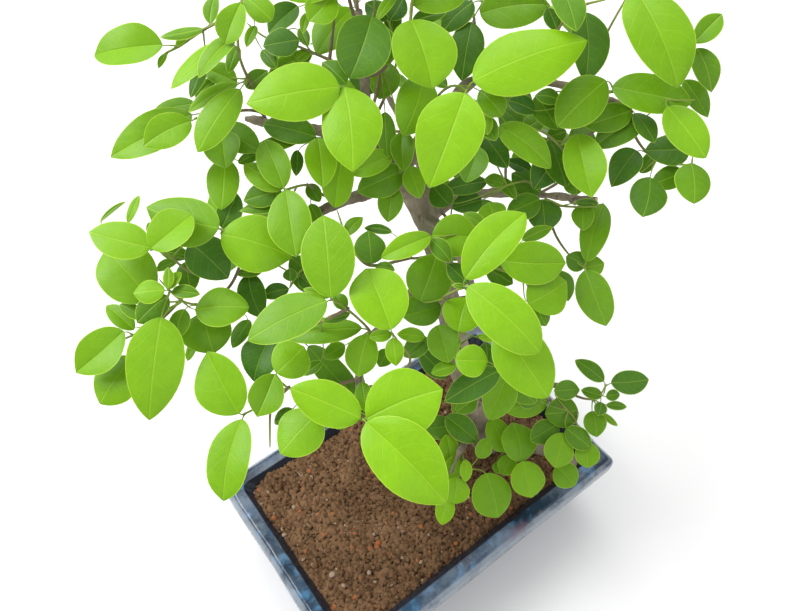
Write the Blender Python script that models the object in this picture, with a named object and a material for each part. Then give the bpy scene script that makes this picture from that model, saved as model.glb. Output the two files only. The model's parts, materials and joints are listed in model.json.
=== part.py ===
"""A privet grown as a small tree in a rectangular glazed pot.

Metres, +Z up. The origin is the centre of the pot's flat base, at floor level. X runs along the pot's
long side and Y along its short side, away from the viewer. The leaves that show are placed by the point
of the picture where they stand and by their distance from the eye. The rest grow by rule.
"""

import math
import random
from collections import namedtuple

import bmesh
import bpy
import numpy as np
from mathutils.bvhtree import BVHTree

# Driving dimensions, in metres
POT_LENGTH = 0.200
POT_WIDTH = 0.1306
POT_HEIGHT = 0.055
DRAIN_HOLE_RADIUS = 0.006
DRAIN_HOLE_X = 0.048
SOIL_LEVEL = 0.0485
SOIL_TILT = 0.045
GAP = 0.0003
TRUNK_FOOT_RADIUS = 0.0105
TRUNK_FOOT_Z = 0.031
TWIG_RADIUS = 0.0009
BLADE_THICKNESS = 0.0011
STALK_RADIUS = 0.0005
BROAD_BLADE = 0.018
SEED = 7

# The eye and its view: picture points are in a frame of 800 x 611
EYE = np.array([-0.110, -0.128, 0.419 + POT_HEIGHT])
YAW, PITCH = math.radians(36.6), math.radians(55.4)
FOCAL, CENTRE_X, CENTRE_Y = 733.0, 400.0, 305.5
PICTURE_BOTTOM = 611
FORWARD = np.array([math.sin(YAW) * math.cos(PITCH), math.cos(YAW) * math.cos(PITCH), -math.sin(PITCH)])
RIGHT = np.array([math.cos(YAW), -math.sin(YAW), 0.0])
UP = np.cross(RIGHT, FORWARD)
SKY = np.array([0.0, 0.0, 1.0])

Shoot = namedtuple("Shoot", "limb stems leaves")
# x and y of the blade's foot and tip in the picture, its width there, how many millimetres it stands
# behind its twig, its tone from 0 dark to 1 bright, and where along it the blade is widest
Leaf = namedtuple("Leaf", "foot_x foot_y tip_x tip_y width behind tone peak", defaults=(0.45,))
Blade = namedtuple("Blade", "joint foot tip normal width arch peak tone")

# Limbs of the tree: centre points in metres, then the radius at the start and the end
LIMBS = {
    "trunk": (
        [(0.048, -0.007, 0.052), (0.043, -0.004, 0.080), (0.038, 0.004, 0.105), (0.040, 0.026, 0.140),
         (0.045, 0.045, 0.175), (0.042, 0.058, 0.205), (0.030, 0.062, 0.235), (0.016, 0.068, 0.262)],
        0.0092, 0.0046),
    "crown": ([(0.018, 0.067, 0.258), (0.026, 0.080, 0.280), (0.034, 0.094, 0.300)], 0.0032, 0.0018),
    "right": (
        [(0.0425, 0.057, 0.203), (0.058, 0.054, 0.207), (0.0747, 0.0466, 0.209), (0.088, 0.028, 0.215),
         (0.101, 0.006, 0.222)],
        0.0034, 0.0014),
    "upper_right": (
        [(0.030, 0.062, 0.233), (0.052, 0.064, 0.256), (0.0765, 0.0592, 0.270), (0.100, 0.036, 0.268),
         (0.119, 0.012, 0.262)],
        0.0034, 0.0013),
    "left": (
        [(0.031, 0.062, 0.230), (0.000, 0.069, 0.229), (-0.036, 0.074, 0.226), (-0.070, 0.079, 0.222)],
        0.0034, 0.0014),
    "upper_left": ([(0.016, 0.068, 0.260), (0.0016, 0.090, 0.258), (-0.016, 0.113, 0.256)], 0.0030, 0.0014),
    "near_left": (
        [(0.0445, 0.044, 0.172), (0.012, 0.034, 0.183), (-0.022, 0.018, 0.192), (-0.040, -0.006, 0.196)],
        0.0034, 0.0015),
    "near_right": (
        [(0.042, 0.057, 0.205), (0.040, 0.036, 0.212), (0.032, 0.014, 0.214), (0.026, 0.000, 0.214)],
        0.0032, 0.0015),
    "back": ([(0.0445, 0.048, 0.180), (0.060, 0.082, 0.205), (0.062, 0.116, 0.232)], 0.0032, 0.0014),
    "low_right": ([(0.0385, 0.003, 0.103), (0.062, -0.012, 0.112), (0.080, -0.030, 0.118)], 0.0028, 0.0012),
    "low_left": ([(0.044, -0.005, 0.074), (0.020, -0.012, 0.084), (0.004, -0.022, 0.090)], 0.0028, 0.0013),
    "root_stub": (
        [(0.0475, -0.0075, 0.062), (0.062, -0.030, 0.061), (0.0775, -0.0500, 0.0585)], 0.0042, 0.0029),
}

# Shoots that show, front ones first. A stem point is x, y in the picture and millimetres from the eye
SHOOTS = {
    "shoot_centre_low": Shoot("near_left", [[(374, 412, 296), (362, 420, 282)]], [
        Leaf(366, 422, 446, 505, 74, -10, 0.95, 0.45), Leaf(366, 419, 443, 389, 73, -5, 0.95, 0.50),
        Leaf(361, 418, 290, 388, 46, -4, 0.90), Leaf(318, 413, 280, 454, 49, 6, 0.85),
        Leaf(350, 412, 336, 429, 17, 8, 0.80)]),
    "shoot_mid_right": Shoot("near_right", [[(425, 304, 306), (448, 294, 298), (465, 286, 288)]], [
        Leaf(465, 279, 526, 212, 49, -5, 0.90, 0.50), Leaf(468, 286, 540, 353, 54, -6, 0.90, 0.50),
        Leaf(465, 287, 452, 285, 7, 0, 0.40), Leaf(420, 301, 437, 254, 50, 4, 0.60),
        Leaf(500, 326, 548, 398, 58, 4, 0.90),
        Leaf(441, 306, 402, 316, 38, 12, 0.50), Leaf(468, 284, 447, 264, 23, 12, 0.15),
        Leaf(446, 378, 419, 350, 24, 20, 0.30)]),
    "shoot_upper_mid": Shoot("upper_right", [[(430, 112, 308), (447, 84, 298), (468, 92, 288)]], [
        Leaf(473, 81, 589, 38, 69, -5, 0.95, 0.40), Leaf(465, 93, 430, 186, 72, -8, 0.95, 0.42),
        Leaf(480, 90, 503, 115, 30, 6, 0.65, 0.60), Leaf(484, 112, 488, 135, 16, 9, 0.60),
        Leaf(480, 118, 496, 141, 22, 12, 0.45),
        Leaf(447, 87, 429, 73, 15, 4, 0.50)]),
    "shoot_mid_left": Shoot("upper_left", [[(372, 112, 316), (356, 98, 302), (341, 88, 285)]], [
        Leaf(340, 87, 246, 104, 63, -6, 0.90, 0.42), Leaf(344, 87, 353, 172, 64, -4, 0.90, 0.45),
        Leaf(346, 84, 322, 62, 26, 6, 0.25)]),
    "shoot_top_centre": Shoot("crown", [[(418, 52, 302), (411, 22, 288), (413, -6, 284), (417, -36, 280)]], [
        Leaf(410, 20, 433, 88, 71, -5, 0.90, 0.55), Leaf(413, 4, 466, -4, 36, 3, 0.70),
        Leaf(424, 76, 404, 135, 45, 10, 0.75), Leaf(412, -4, 374, -24, 32, 0, 0.70),
        Leaf(417, -34, 445, -72, 34, 0, 0.75), Leaf(416, -36, 386, -66, 34, 0, 0.75),
        Leaf(412, 22, 447, 12, 18, 8, 0.30)]),
    "shoot_centre": Shoot("near_left", [[(424, 378, 318), (410, 357, 308), (392, 333, 290)]], [
        Leaf(391, 330, 366, 267, 61, -6, 0.95, 0.52), Leaf(392, 334, 369, 337, 15, 3, 0.80),
        Leaf(394, 336, 396, 366, 20, 0, 0.85), Leaf(388, 349, 379, 367, 19, 5, 0.50)]),
    "shoot_centre_left": Shoot("near_left", [
        [(377, 348, 312), (370, 331, 303), (347, 309, 292), (331, 299, 285)],
        [(347, 309, 292), (320, 322, 300), (286, 330, 306)]], [
        Leaf(272, 336, 253, 381, 46, 4, 0.12),
        Leaf(331, 298, 323, 215, 56, -4, 0.70, 0.48), Leaf(327, 301, 246, 339, 46, -4, 0.65),
        Leaf(330, 297, 303, 289, 11, 4, 0.70), Leaf(346, 309, 334, 294, 17, 4, 0.60),
        Leaf(362, 328, 276, 333, 27, 3, 0.70), Leaf(350, 313, 322, 321, 11, 6, 0.30),
        Leaf(368, 334, 358, 377, 35, -6, 0.85, 0.52), Leaf(345, 345, 322, 357, 18, 12, 0.70),
        Leaf(308, 346, 362, 403, 30, 20, 0.50),
        Leaf(322, 362, 303, 375, 13, 14, 0.30), Leaf(362, 382, 367, 413, 19, 8, 0.60)]),
    "shoot_low_lights": Shoot("near_right", [[(440, 345, 322), (456, 340, 312), (462, 352, 306)]], [
        Leaf(458, 332, 468, 297, 43, -12, 0.90, 0.52), Leaf(455, 360, 488, 361, 34, -6, 0.90, 0.52),
        Leaf(425, 337, 397, 334, 16, -8, 0.85), Leaf(428, 338, 404, 357, 24, -2, 0.45),
        Leaf(438, 325, 449, 363, 36, -14, 0.70),
        Leaf(456, 366, 431, 373, 15, 0, 0.75), Leaf(500, 370, 444, 402, 31, 10, 0.25),
        Leaf(478, 335, 496, 341, 8, -2, 0.90), Leaf(486, 342, 488, 376, 20, 14, 0.15)]),
    "shoot_left_centre": Shoot("left", [[(322, 196, 326), (308, 185, 312), (284, 190, 296)]], [
        Leaf(286, 190, 296, 257, 49, -8, 0.60, 0.50), Leaf(284, 188, 263, 138, 35, 2, 0.60),
        Leaf(283, 189, 243, 163, 27, 6, 0.75), Leaf(282, 192, 243, 201, 27, 10, 0.40),
        Leaf(308, 184, 320, 202, 16, 6, 0.45),
        Leaf(284, 205, 239, 211, 16, 10, 0.50), Leaf(310, 204, 322, 225, 15, 8, 0.50)]),
    "shoot_mid_fork": Shoot("upper_left", [[(362, 142, 322), (345, 140, 314), (318, 138, 302)]], [
        Leaf(318, 138, 323, 188, 34, -2, 0.90), Leaf(344, 150, 335, 208, 35, -2, 0.90, 0.55),
        Leaf(316, 137, 262, 122, 34, 4, 0.25), Leaf(302, 138, 250, 151, 18, 6, 0.60),
        Leaf(297, 150, 296, 176, 14, 12, 0.25)]),
    "shoot_mid_high": Shoot("trunk", [[(424, 186, 334), (412, 176, 322), (399, 172, 314)]], [
        Leaf(392, 155, 350, 174, 28, -6, 0.85), Leaf(404, 170, 357, 191, 36, 2, 0.55),
        Leaf(392, 186, 388, 222, 28, 2, 0.55), Leaf(410, 166, 420, 198, 24, -6, 0.75)]),
    "shoot_left_mid": Shoot("left", [[(262, 258, 322), (240, 250, 314), (221, 233, 298)]], [
        Leaf(221, 234, 292, 257, 60, -4, 0.80, 0.50), Leaf(219, 228, 146, 207, 53, -6, 0.65, 0.42),
        Leaf(222, 228, 237, 193, 27, 10, 0.30),
        Leaf(248, 274, 262, 318, 32, 12, 0.15), Leaf(262, 272, 236, 274, 12, 6, 0.50),
        Leaf(326, 292, 290, 256, 36, 12, 0.35)]),
    "shoot_left_top": Shoot("upper_left", [
        [(285, 104, 312), (262, 98, 305), (243, 92, 298), (238, 50, 291), (241, 3, 286), (247, -30, 284)],
        [(241, 3, 286), (225, 18, 288), (203, 30, 290), (180, 46, 292), (164, 54, 293)]], [
        Leaf(240, 89, 197, 152, 37, -8, 0.80, 0.50), Leaf(163, 45, 92, 54, 50, -3, 0.75),
        Leaf(167, 53, 158, 68, 9, 0, 0.70), Leaf(176, 46, 187, 35, 8, -2, 0.80),
        Leaf(203, 29, 160, 37, 14, 0, 0.45), Leaf(210, 24, 216, -5, 17, 2, 0.50),
        Leaf(241, 3, 225, 43, 31, -6, 0.75, 0.65), Leaf(244, -3, 272, 20, 27, 0, 0.70, 0.60),
        Leaf(231, 43, 170, 88, 26, -4, 0.85), Leaf(234, 38, 197, 76, 26, -9, 0.60),
        Leaf(205, 66, 190, 97, 15, 8, 0.20), Leaf(238, 84, 187, 111, 19, -3, 0.70),
        Leaf(237, 83, 203, 68, 26, 5, 0.65), Leaf(246, 88, 268, 70, 21, 3, 0.40),
        Leaf(247, -30, 222, -62, 34, 0, 0.70), Leaf(248, -31, 286, -58, 34, 0, 0.70),
        Leaf(238, 46, 228, 73, 15, 4, 0.40), Leaf(256, 26, 246, 47, 13, 3, 0.50),
        Leaf(215, 80, 195, 97, 15, 6, 0.50)]),
    "shoot_left_low": Shoot("left", [[(245, 300, 322), (218, 306, 314), (194, 311, 300), (181, 303, 297),
                                      (170, 291, 294), (160, 280, 291)]], [
        Leaf(161, 317, 148, 421, 59, -6, 0.85, 0.42), Leaf(195, 310, 249, 307, 41, -5, 0.65),
        Leaf(165, 290, 133, 293, 25, -6, 0.80, 0.52), Leaf(168, 288, 168, 267, 12, -6, 0.70),
        Leaf(167, 289, 181, 272, 15, -6, 0.80), Leaf(172, 291, 200, 294, 16, -2, 0.35),
        Leaf(168, 296, 137, 323, 30, 4, 0.30), Leaf(184, 309, 176, 339, 21, 6, 0.55),
        Leaf(203, 312, 214, 353, 51, 6, 0.60), Leaf(150, 300, 104, 248, 62, 10, 0.75, 0.50),
        Leaf(196, 341, 187, 361, 11, 8, 0.65), Leaf(134, 330, 106, 305, 20, 14, 0.70),
        Leaf(250, 320, 232, 348, 18, 12, 0.50), Leaf(142, 318, 119, 304, 15, 8, 0.50)]),
    "shoot_left_out": Shoot("left", [[(222, 280, 318), (203, 284, 312), (186, 270, 305), (172, 258, 300),
                                      (152, 248, 293)],
                                     [(152, 248, 293), (130, 236, 297), (106, 224, 299)]], [
        Leaf(151, 249, 193, 215, 46, -8, 0.80, 0.52), Leaf(151, 248, 88, 231, 40, -3, 0.85),
        Leaf(100, 222, 126, 201, 6, 4, 0.40), Leaf(128, 223, 139, 195, 12, 3, 0.70),
        Leaf(157, 240, 148, 222, 13, 8, 0.20), Leaf(190, 243, 228, 278, 46, 10, 0.20),
        Leaf(187, 261, 192, 292, 25, 12, 0.30),
        Leaf(189, 256, 158, 249, 17, 8, 0.30), Leaf(177, 262, 156, 271, 13, 4, 0.50)]),
    "shoot_left_high": Shoot("upper_left", [
        [(262, 112, 318), (243, 106, 312), (226, 118, 306), (195, 118, 300)],
        [(226, 118, 306), (222, 131, 303)]], [
        Leaf(191, 121, 143, 147, 39, -3, 0.75), Leaf(192, 114, 110, 157, 45, 6, 0.80),
        Leaf(196, 104, 150, 116, 22, 12, 0.60), Leaf(222, 133, 226, 168, 42, 0, 0.50),
        Leaf(223, 127, 259, 150, 31, 2, 0.45), Leaf(225, 158, 221, 210, 34, 8, 0.80),
        Leaf(238, 163, 263, 151, 13, 6, 0.40)]),
    "shoot_top_left": Shoot("crown", [
        [(352, 66, 312), (330, 60, 310), (308, 53, 306), (299, 42, 304), (262, 42, 302), (248, 24, 300)],
        [(330, 60, 310), (334, 20, 302), (336, -14, 296)]], [
        Leaf(299, 40, 263, 46, 35, -2, 0.25), Leaf(298, 6, 268, 32, 30, 6, 0.25),
        Leaf(312, 54, 268, 74, 22, 6, 0.55), Leaf(297, 60, 311, 50, 14, 2, 0.80),
        Leaf(309, 12, 303, 34, 11, 0, 0.80), Leaf(334, -6, 309, 21, 35, -4, 0.80, 0.60),
        Leaf(345, -22, 281, -5, 36, -6, 0.85),
        Leaf(338, -16, 372, -44, 36, 0, 0.75),
        Leaf(262, 50, 277, 69, 16, 4, 0.30), Leaf(300, 28, 308, 46, 13, 2, 0.50)]),
    "shoot_top_mid": Shoot("crown", [[(384, 84, 316), (380, 56, 308), (374, 14, 298), (378, -22, 292)]], [
        Leaf(372, 16, 350, 77, 60, -8, 0.35, 0.52), Leaf(384, 27, 388, 66, 20, 4, 0.55),
        Leaf(353, 8, 316, 55, 44, 6, 0.75, 0.52), Leaf(389, 62, 379, 99, 34, 8, 0.60),
        Leaf(396, -6, 376, 20, 13, 0, 0.70), Leaf(385, 112, 388, 158, 21, 10, 0.45),
        Leaf(378, -22, 350, -60, 36, 0, 0.75), Leaf(379, -23, 410, -60, 34, 2, 0.75),
        Leaf(392, 35, 396, 4, 19, 8, 0.30), Leaf(375, 92, 349, 75, 23, 8, 0.30),
        Leaf(402, 132, 404, 171, 27, 12, 0.50)]),
    "shoot_centre_high": Shoot("near_right", [
        [(398, 262, 318), (410, 252, 306), (430, 238, 298)],
        [(398, 262, 318), (372, 266, 308), (356, 262, 306), (346, 236, 308), (337, 210, 310)]], [
        Leaf(431, 236, 381, 258, 27, -4, 0.85), Leaf(432, 235, 482, 240, 49, 4, 0.80, 0.42),
        Leaf(431, 239, 451, 262, 20, -2, 0.35), Leaf(371, 264, 368, 230, 33, -2, 0.40),
        Leaf(374, 265, 395, 270, 13, 0, 0.40), Leaf(392, 232, 364, 228, 11, 8, 0.20),
        Leaf(345, 236, 363, 217, 16, 2, 0.50),
        Leaf(486, 227, 463, 213, 15, 8, 0.60)]),
    "shoot_lower_left": Shoot("near_left", [
        [(318, 396, 320), (303, 393, 314), (286, 391, 306), (276, 376, 298)],
        [(286, 391, 306), (262, 405, 302), (244, 414, 296)],
        [(286, 391, 306), (273, 404, 312), (270, 416, 316), (270, 447, 322)]], [
        Leaf(239, 414, 206, 351, 57, -5, 0.75, 0.42), Leaf(242, 419, 222, 501, 48, -5, 0.75, 0.50),
        Leaf(275, 374, 257, 417, 39, -4, 0.65, 0.55), Leaf(276, 373, 304, 346, 43, -5, 0.80, 0.52),
        Leaf(293, 409, 274, 424, 17, 6, 0.30)]),
    "shoot_left_edge": Shoot("left", [[(175, 318, 318), (150, 330, 310), (133, 335, 302), (118, 342, 298)]], [
        Leaf(124, 331, 76, 373, 47, -2, 0.75), Leaf(133, 358, 99, 404, 50, 6, 0.70)]),
    "shoot_right_centre": Shoot("right", [
        [(486, 262, 322), (500, 262, 312), (529, 300, 308), (546, 284, 308), (553, 268, 312)]], [
        Leaf(500, 260, 566, 263, 47, -2, 0.80, 0.50), Leaf(528, 304, 568, 281, 46, -4, 0.80, 0.45),
        Leaf(553, 271, 569, 301, 28, 10, 0.35), Leaf(487, 268, 513, 284, 23, 10, 0.25),
        Leaf(497, 224, 488, 202, 31, 4, 0.70, 0.52),
        Leaf(534, 300, 546, 326, 26, 10, 0.50), Leaf(522, 240, 553, 227, 15, 8, 0.50)]),
    "shoot_top_right": Shoot("upper_right", [
        [(530, 70, 314), (552, 40, 306), (560, 4, 298), (583, 5, 296), (621, 5, 293), (626, -12, 290)],
        [(560, 4, 298), (545, -24, 292)],
        [(545, -24, 292), (512, -12, 302), (482, 2, 310)]], [
        Leaf(480, 14, 551, 4, 54, -2, 0.65), Leaf(472, 22, 462, 80, 36, 4, 0.15),
        Leaf(473, 2, 442, 32, 28, 4, 0.15), Leaf(556, -22, 577, 31, 37, -2, 0.45),
        Leaf(585, 12, 587, 81, 45, 10, 0.35), Leaf(636, -8, 681, 85, 75, -4, 0.75),
        Leaf(694, 43, 722, 14, 26, 0, 0.55), Leaf(697, 48, 712, 92, 28, 3, 0.40),
        Leaf(545, -24, 512, -52, 38, 0, 0.70), Leaf(546, -26, 580, -58, 38, 0, 0.70),
        Leaf(626, -14, 604, -52, 36, 0, 0.70),
        Leaf(548, 8, 557, 31, 19, 8, 0.20)]),
    "shoot_right_high": Shoot("upper_right", [
        [(590, 96, 318), (607, 84, 306), (640, 92, 304), (668, 104, 300), (694, 100, 298)]], [
        Leaf(612, 87, 692, 103, 46, -3, 0.55), Leaf(667, 107, 706, 158, 40, -6, 0.80),
        Leaf(606, 80, 557, 127, 48, -5, 0.55), Leaf(632, 110, 584, 126, 30, 8, 0.50),
        Leaf(560, 100, 535, 95, 18, 10, 0.30), Leaf(535, 112, 508, 100, 24, 14, 0.10),
        Leaf(642, 119, 594, 147, 35, 10, 0.45), Leaf(537, 94, 559, 129, 29, 26, 0.35),
        Leaf(635, 113, 655, 143, 25, 10, 0.30), Leaf(684, 80, 709, 117, 26, 10, 0.40)]),
    "shoot_right_out": Shoot("right", [
        [(572, 196, 334), (577, 194, 326), (573, 168, 318), (572, 140, 312), (542, 124, 306),
         (500, 126, 302)]], [
        Leaf(577, 134, 592, 198, 46, -5, 0.75, 0.50), Leaf(499, 126, 553, 166, 38, -4, 0.75),
        Leaf(577, 195, 571, 173, 26, -4, 0.35), Leaf(550, 140, 567, 187, 36, 12, 0.20),
        Leaf(560, 150, 534, 189, 34, 14, 0.15), Leaf(477, 146, 466, 182, 34, 8, 0.50)]),
    "shoot_branch_end": Shoot(
        "right", [[(541, 201, 344), (562, 206, 340), (584, 207, 336), (600, 206, 334)]], [
        Leaf(575, 203, 599, 203, 10, 0, 0.20), Leaf(584, 204, 583, 231, 24, 0, 0.60),
        Leaf(542, 199, 545, 232, 36, 6, 0.25), Leaf(540, 199, 507, 213, 28, 6, 0.35)]),
    "shoot_branch_top": Shoot("right", [[(530, 190, 346), (530, 180, 338), (505, 186, 334)]], [
        Leaf(540, 193, 512, 172, 32, -4, 0.30), Leaf(505, 188, 484, 179, 17, 0, 0.50),
        Leaf(450, 205, 432, 184, 26, 4, 0.20), Leaf(482, 200, 452, 208, 28, 8, 0.12),
        Leaf(487, 181, 443, 190, 23, 4, 0.15), Leaf(482, 133, 508, 167, 28, 8, 0.10),
        Leaf(532, 172, 505, 160, 17, 6, 0.10), Leaf(500, 178, 516, 199, 15, 4, 0.35)]),
    "shoot_right_edge": Shoot("upper_right", [
        [(634, 152, 330), (642, 174, 322), (680, 172, 316), (694, 164, 314)]], [
        Leaf(650, 177, 643, 217, 38, -3, 0.30), Leaf(691, 163, 694, 204, 38, -3, 0.55),
        Leaf(690, 150, 645, 150, 36, 4, 0.20), Leaf(636, 150, 612, 186, 34, 4, 0.15),
        Leaf(684, 172, 651, 185, 25, 4, 0.40), Leaf(640, 173, 655, 151, 16, 12, 0.30)]),
    "shoot_right_low": Shoot("right", [[(556, 236, 350), (572, 258, 342), (585, 268, 334)]], [
        Leaf(586, 262, 605, 201, 31, -4, 0.60, 0.50), Leaf(585, 270, 607, 325, 38, -4, 0.65, 0.50),
        Leaf(586, 266, 566, 256, 23, 2, 0.40), Leaf(585, 268, 605, 263, 22, 6, 0.65)]),
    "sprig_right": Shoot(
        "low_right", [[(590, 428, 402), (598, 414, 396), (603, 398, 391), (606, 385, 388)]], [
        Leaf(604, 381, 575, 360, 18, -2, 0.25), Leaf(611, 383, 650, 379, 25, -2, 0.30),
        Leaf(602, 396, 581, 390, 14, 0, 0.30), Leaf(606, 397, 620, 394, 13, 0, 0.35),
        Leaf(606, 405, 627, 407, 10, 2, 0.40), Leaf(601, 402, 598, 416, 15, 0, 0.25),
        Leaf(592, 411, 597, 437, 25, 0, 0.45), Leaf(603, 413, 618, 426, 7, 2, 0.60)]),
    "low_shoot_right": Shoot(
        "low_right", [[(552, 402, 400), (568, 411, 398), (578, 420, 398), (580, 436, 400)]], [
        Leaf(554, 391, 580, 390, 22, -2, 0.45), Leaf(578, 410, 545, 414, 33, 0, 0.35),
        Leaf(566, 428, 592, 449, 23, -4, 0.35), Leaf(564, 433, 555, 468, 33, -6, 0.80, 0.52),
        Leaf(585, 441, 588, 468, 26, -2, 0.75, 0.52), Leaf(540, 402, 518, 388, 28, 0, 0.40),
        Leaf(548, 400, 506, 412, 28, 4, 0.65), Leaf(558, 424, 530, 441, 25, 4, 0.30),
        Leaf(556, 466, 575, 486, 29, 2, 0.60)]),
    "low_shoot_near": Shoot("trunk", [[(508, 450, 422), (518, 458, 412), (522, 462, 408)]], [
        Leaf(523, 461, 532, 498, 37, -4, 0.85, 0.52), Leaf(521, 462, 513, 422, 38, -4, 0.70, 0.52),
        Leaf(505, 452, 491, 416, 27, 2, 0.80), Leaf(496, 462, 500, 474, 12, 2, 0.70),
        Leaf(512, 456, 502, 475, 21, 2, 0.80)]),
    "low_shoot_left": Shoot("low_left", [[(462, 452, 420), (462, 462, 412), (470, 470, 408)]], [
        Leaf(486, 473, 498, 518, 42, -4, 0.60, 0.52), Leaf(457, 477, 454, 504, 28, -2, 0.85, 0.52),
        Leaf(447, 496, 441, 525, 21, -2, 0.90), Leaf(466, 460, 466, 482, 14, -8, 0.95),
        Leaf(458, 456, 446, 480, 23, -4, 0.80), Leaf(452, 468, 446, 434, 24, 2, 0.75),
        Leaf(478, 458, 488, 438, 18, 0, 0.65),
        Leaf(446, 416, 478, 442, 28, -8, 0.20), Leaf(424, 428, 454, 424, 28, 8, 0.30),
        Leaf(453, 400, 473, 418, 23, -2, 0.55), Leaf(456, 440, 452, 474, 20, 0, 0.80)]),
    "low_shoot_mid": Shoot("trunk", [[(490, 398, 392), (502, 386, 382), (508, 379, 378)]], [
        Leaf(507, 376, 489, 420, 38, -4, 0.70), Leaf(476, 398, 456, 412, 20, 4, 0.50),
        Leaf(512, 378, 536, 404, 26, 4, 0.45)]),
    "shoot_inner_right": Shoot("upper_right", [[(566, 150, 342), (546, 139, 336), (522, 129, 331)]], [
        Leaf(521, 127, 498, 106, 24, 2, 0.30), Leaf(525, 129, 543, 116, 21, 3, 0.45),
        Leaf(547, 138, 567, 131, 19, 3, 0.30), Leaf(548, 143, 556, 178, 24, 8, 0.20),
        Leaf(520, 133, 497, 150, 26, 6, 0.15)]),
    "shoot_inner_left": Shoot("left", [[(310, 262, 334), (298, 274, 330), (290, 286, 326)]], [
        Leaf(289, 289, 262, 296, 18, 4, 0.20), Leaf(292, 285, 290, 268, 15, 3, 0.30),
        Leaf(300, 276, 316, 290, 20, 5, 0.25)]),
    "shoot_inner_crown": Shoot("crown", [[(398, 66, 322), (394, 40, 316), (388, 20, 311)]], [
        Leaf(390, 20, 404, -4, 22, 3, 0.10), Leaf(387, 20, 365, 2, 22, 3, 0.12),
        Leaf(396, 46, 416, 62, 22, 5, 0.10)]),
}

# Shoots that no picture shows: the limb, the place along it from 0 to 1, the heading, the length and the
# number of leaf pairs
HIDDEN_SHOOTS = {
    "back_shoot_low": ("back", 0.55, (0.55, 0.70, 0.05), 0.070, 5),
    "back_shoot_high": ("back", 0.98, (0.10, 0.75, 0.50), 0.062, 5),
    "back_shoot_left": ("back", 0.80, (-0.65, 0.65, 0.15), 0.070, 5),
    "back_shoot_right": ("back", 0.62, (0.85, 0.50, -0.10), 0.060, 4),
    "back_shoot_under": ("trunk", 0.52, (0.50, 0.80, 0.05), 0.062, 4),
    "crown_shoot_back": ("crown", 0.90, (0.25, 0.85, 0.30), 0.060, 5),
    "crown_shoot_top": ("crown", 0.98, (0.10, 0.30, 0.90), 0.040, 4),
    "upper_right_shoot_back": ("upper_right", 0.50, (0.45, 0.80, 0.20), 0.070, 5),
    "upper_right_shoot_far": ("upper_right", 0.80, (0.85, 0.45, 0.10), 0.058, 4),
    "left_shoot_under": ("left", 0.50, (-0.40, 0.40, -0.45), 0.052, 4),
    "right_shoot_back": ("right", 0.60, (0.70, 0.65, 0.05), 0.064, 5),
    "right_shoot_under": ("right", 0.75, (0.80, 0.10, -0.35), 0.056, 4),
    "low_shoot_side": ("low_right", 0.60, (0.75, 0.55, 0.10), 0.044, 4),
}


def unit(vector):
    return vector / np.linalg.norm(vector)


def sight(x, y, distance):
    """The point that shows at x, y in the picture, at a distance in metres along the view axis."""
    across, height = (x - CENTRE_X) / FOCAL, (CENTRE_Y - y) / FOCAL
    return EYE + distance * (FORWARD + across * RIGHT + height * UP)


def picture(points):
    """Where points show in the picture, and their distance along the view axis."""
    rays = np.atleast_2d(points) - EYE
    distance = rays @ FORWARD
    x = CENTRE_X + FOCAL * (rays @ RIGHT) / distance
    y = CENTRE_Y - FOCAL * (rays @ UP) / distance
    return x, y, distance


def smooth_path(points, steps):
    """A Catmull-Rom curve through the points, with a number of steps in each span."""
    points = np.asarray(points, float)
    padded = np.vstack([2 * points[0] - points[1], points, 2 * points[-1] - points[-2]])
    curve = []
    for a, b, c, d in zip(padded, padded[1:], padded[2:], padded[3:]):
        for t in np.arange(steps) / steps:
            bend = 2 * a - 5 * b + 4 * c - d + t * (3 * b - a - 3 * c + d)
            curve.append(b + 0.5 * t * (c - a + t * bend))
    return np.array(curve + [points[-1]])


def tube(path, radii, sides, first_turn=0.0):
    """A closed tube along a path: rings square to it, turned as little as possible, and flat ends."""
    along = unit_rows(np.gradient(path, axis=0))
    side = unit(np.cross(along[0], (0.3, 0.2, 0.9) if abs(along[0][2]) < 0.8 else (1.0, 0.0, 0.0)))
    verts = []
    for point, way, radius in zip(path, along, radii):
        side = unit(side - way * (side @ way))
        other = np.cross(way, side)
        for k in range(sides):
            angle = first_turn + 2 * math.pi * k / sides
            verts.append(point + radius * (math.cos(angle) * side + math.sin(angle) * other))
    faces = [tuple(range(sides))[::-1], tuple(range(len(verts) - sides, len(verts)))]
    for ring in range(len(path) - 1):
        for k in range(sides):
            a, b = ring * sides + k, ring * sides + (k + 1) % sides
            faces.append((a, b, b + sides, a + sides))
    return np.array(verts), faces


def unit_rows(rows):
    return rows / np.linalg.norm(rows, axis=1, keepdims=True)


def half_width(along, peak):
    """The blade's outline: 0 at foot and tip, 1 where it is widest, blunt near the foot."""
    a, b = 0.62, 0.62 * (1 - peak) / peak
    scale = peak**a * (1 - peak)**b
    return along**a * (1 - along)**b / scale


def stalk_rings(blade, side, radius):
    """The stalk: a ring or a point in the twig, and a ring at the blade's foot unless it is short."""
    run = blade.foot - blade.joint
    along, onward = unit(run), unit(blade.tip - blade.foot)
    pointed = blade.width < BROAD_BLADE
    verts = [blade.joint] if pointed else []
    rings = [] if pointed else [(blade.joint, along)]
    if pointed or np.linalg.norm(run) > 0.007 or along @ onward < 0.6:
        rings.append((blade.foot, unit(along + onward)))
    for centre, way in rings:
        across = unit(side - way * (way @ side))
        above = np.cross(way, across)
        centre = centre + 0.4 * radius * above
        verts += [centre - radius * across, centre - 1.5 * radius * above, centre + radius * across]
    return verts


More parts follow.
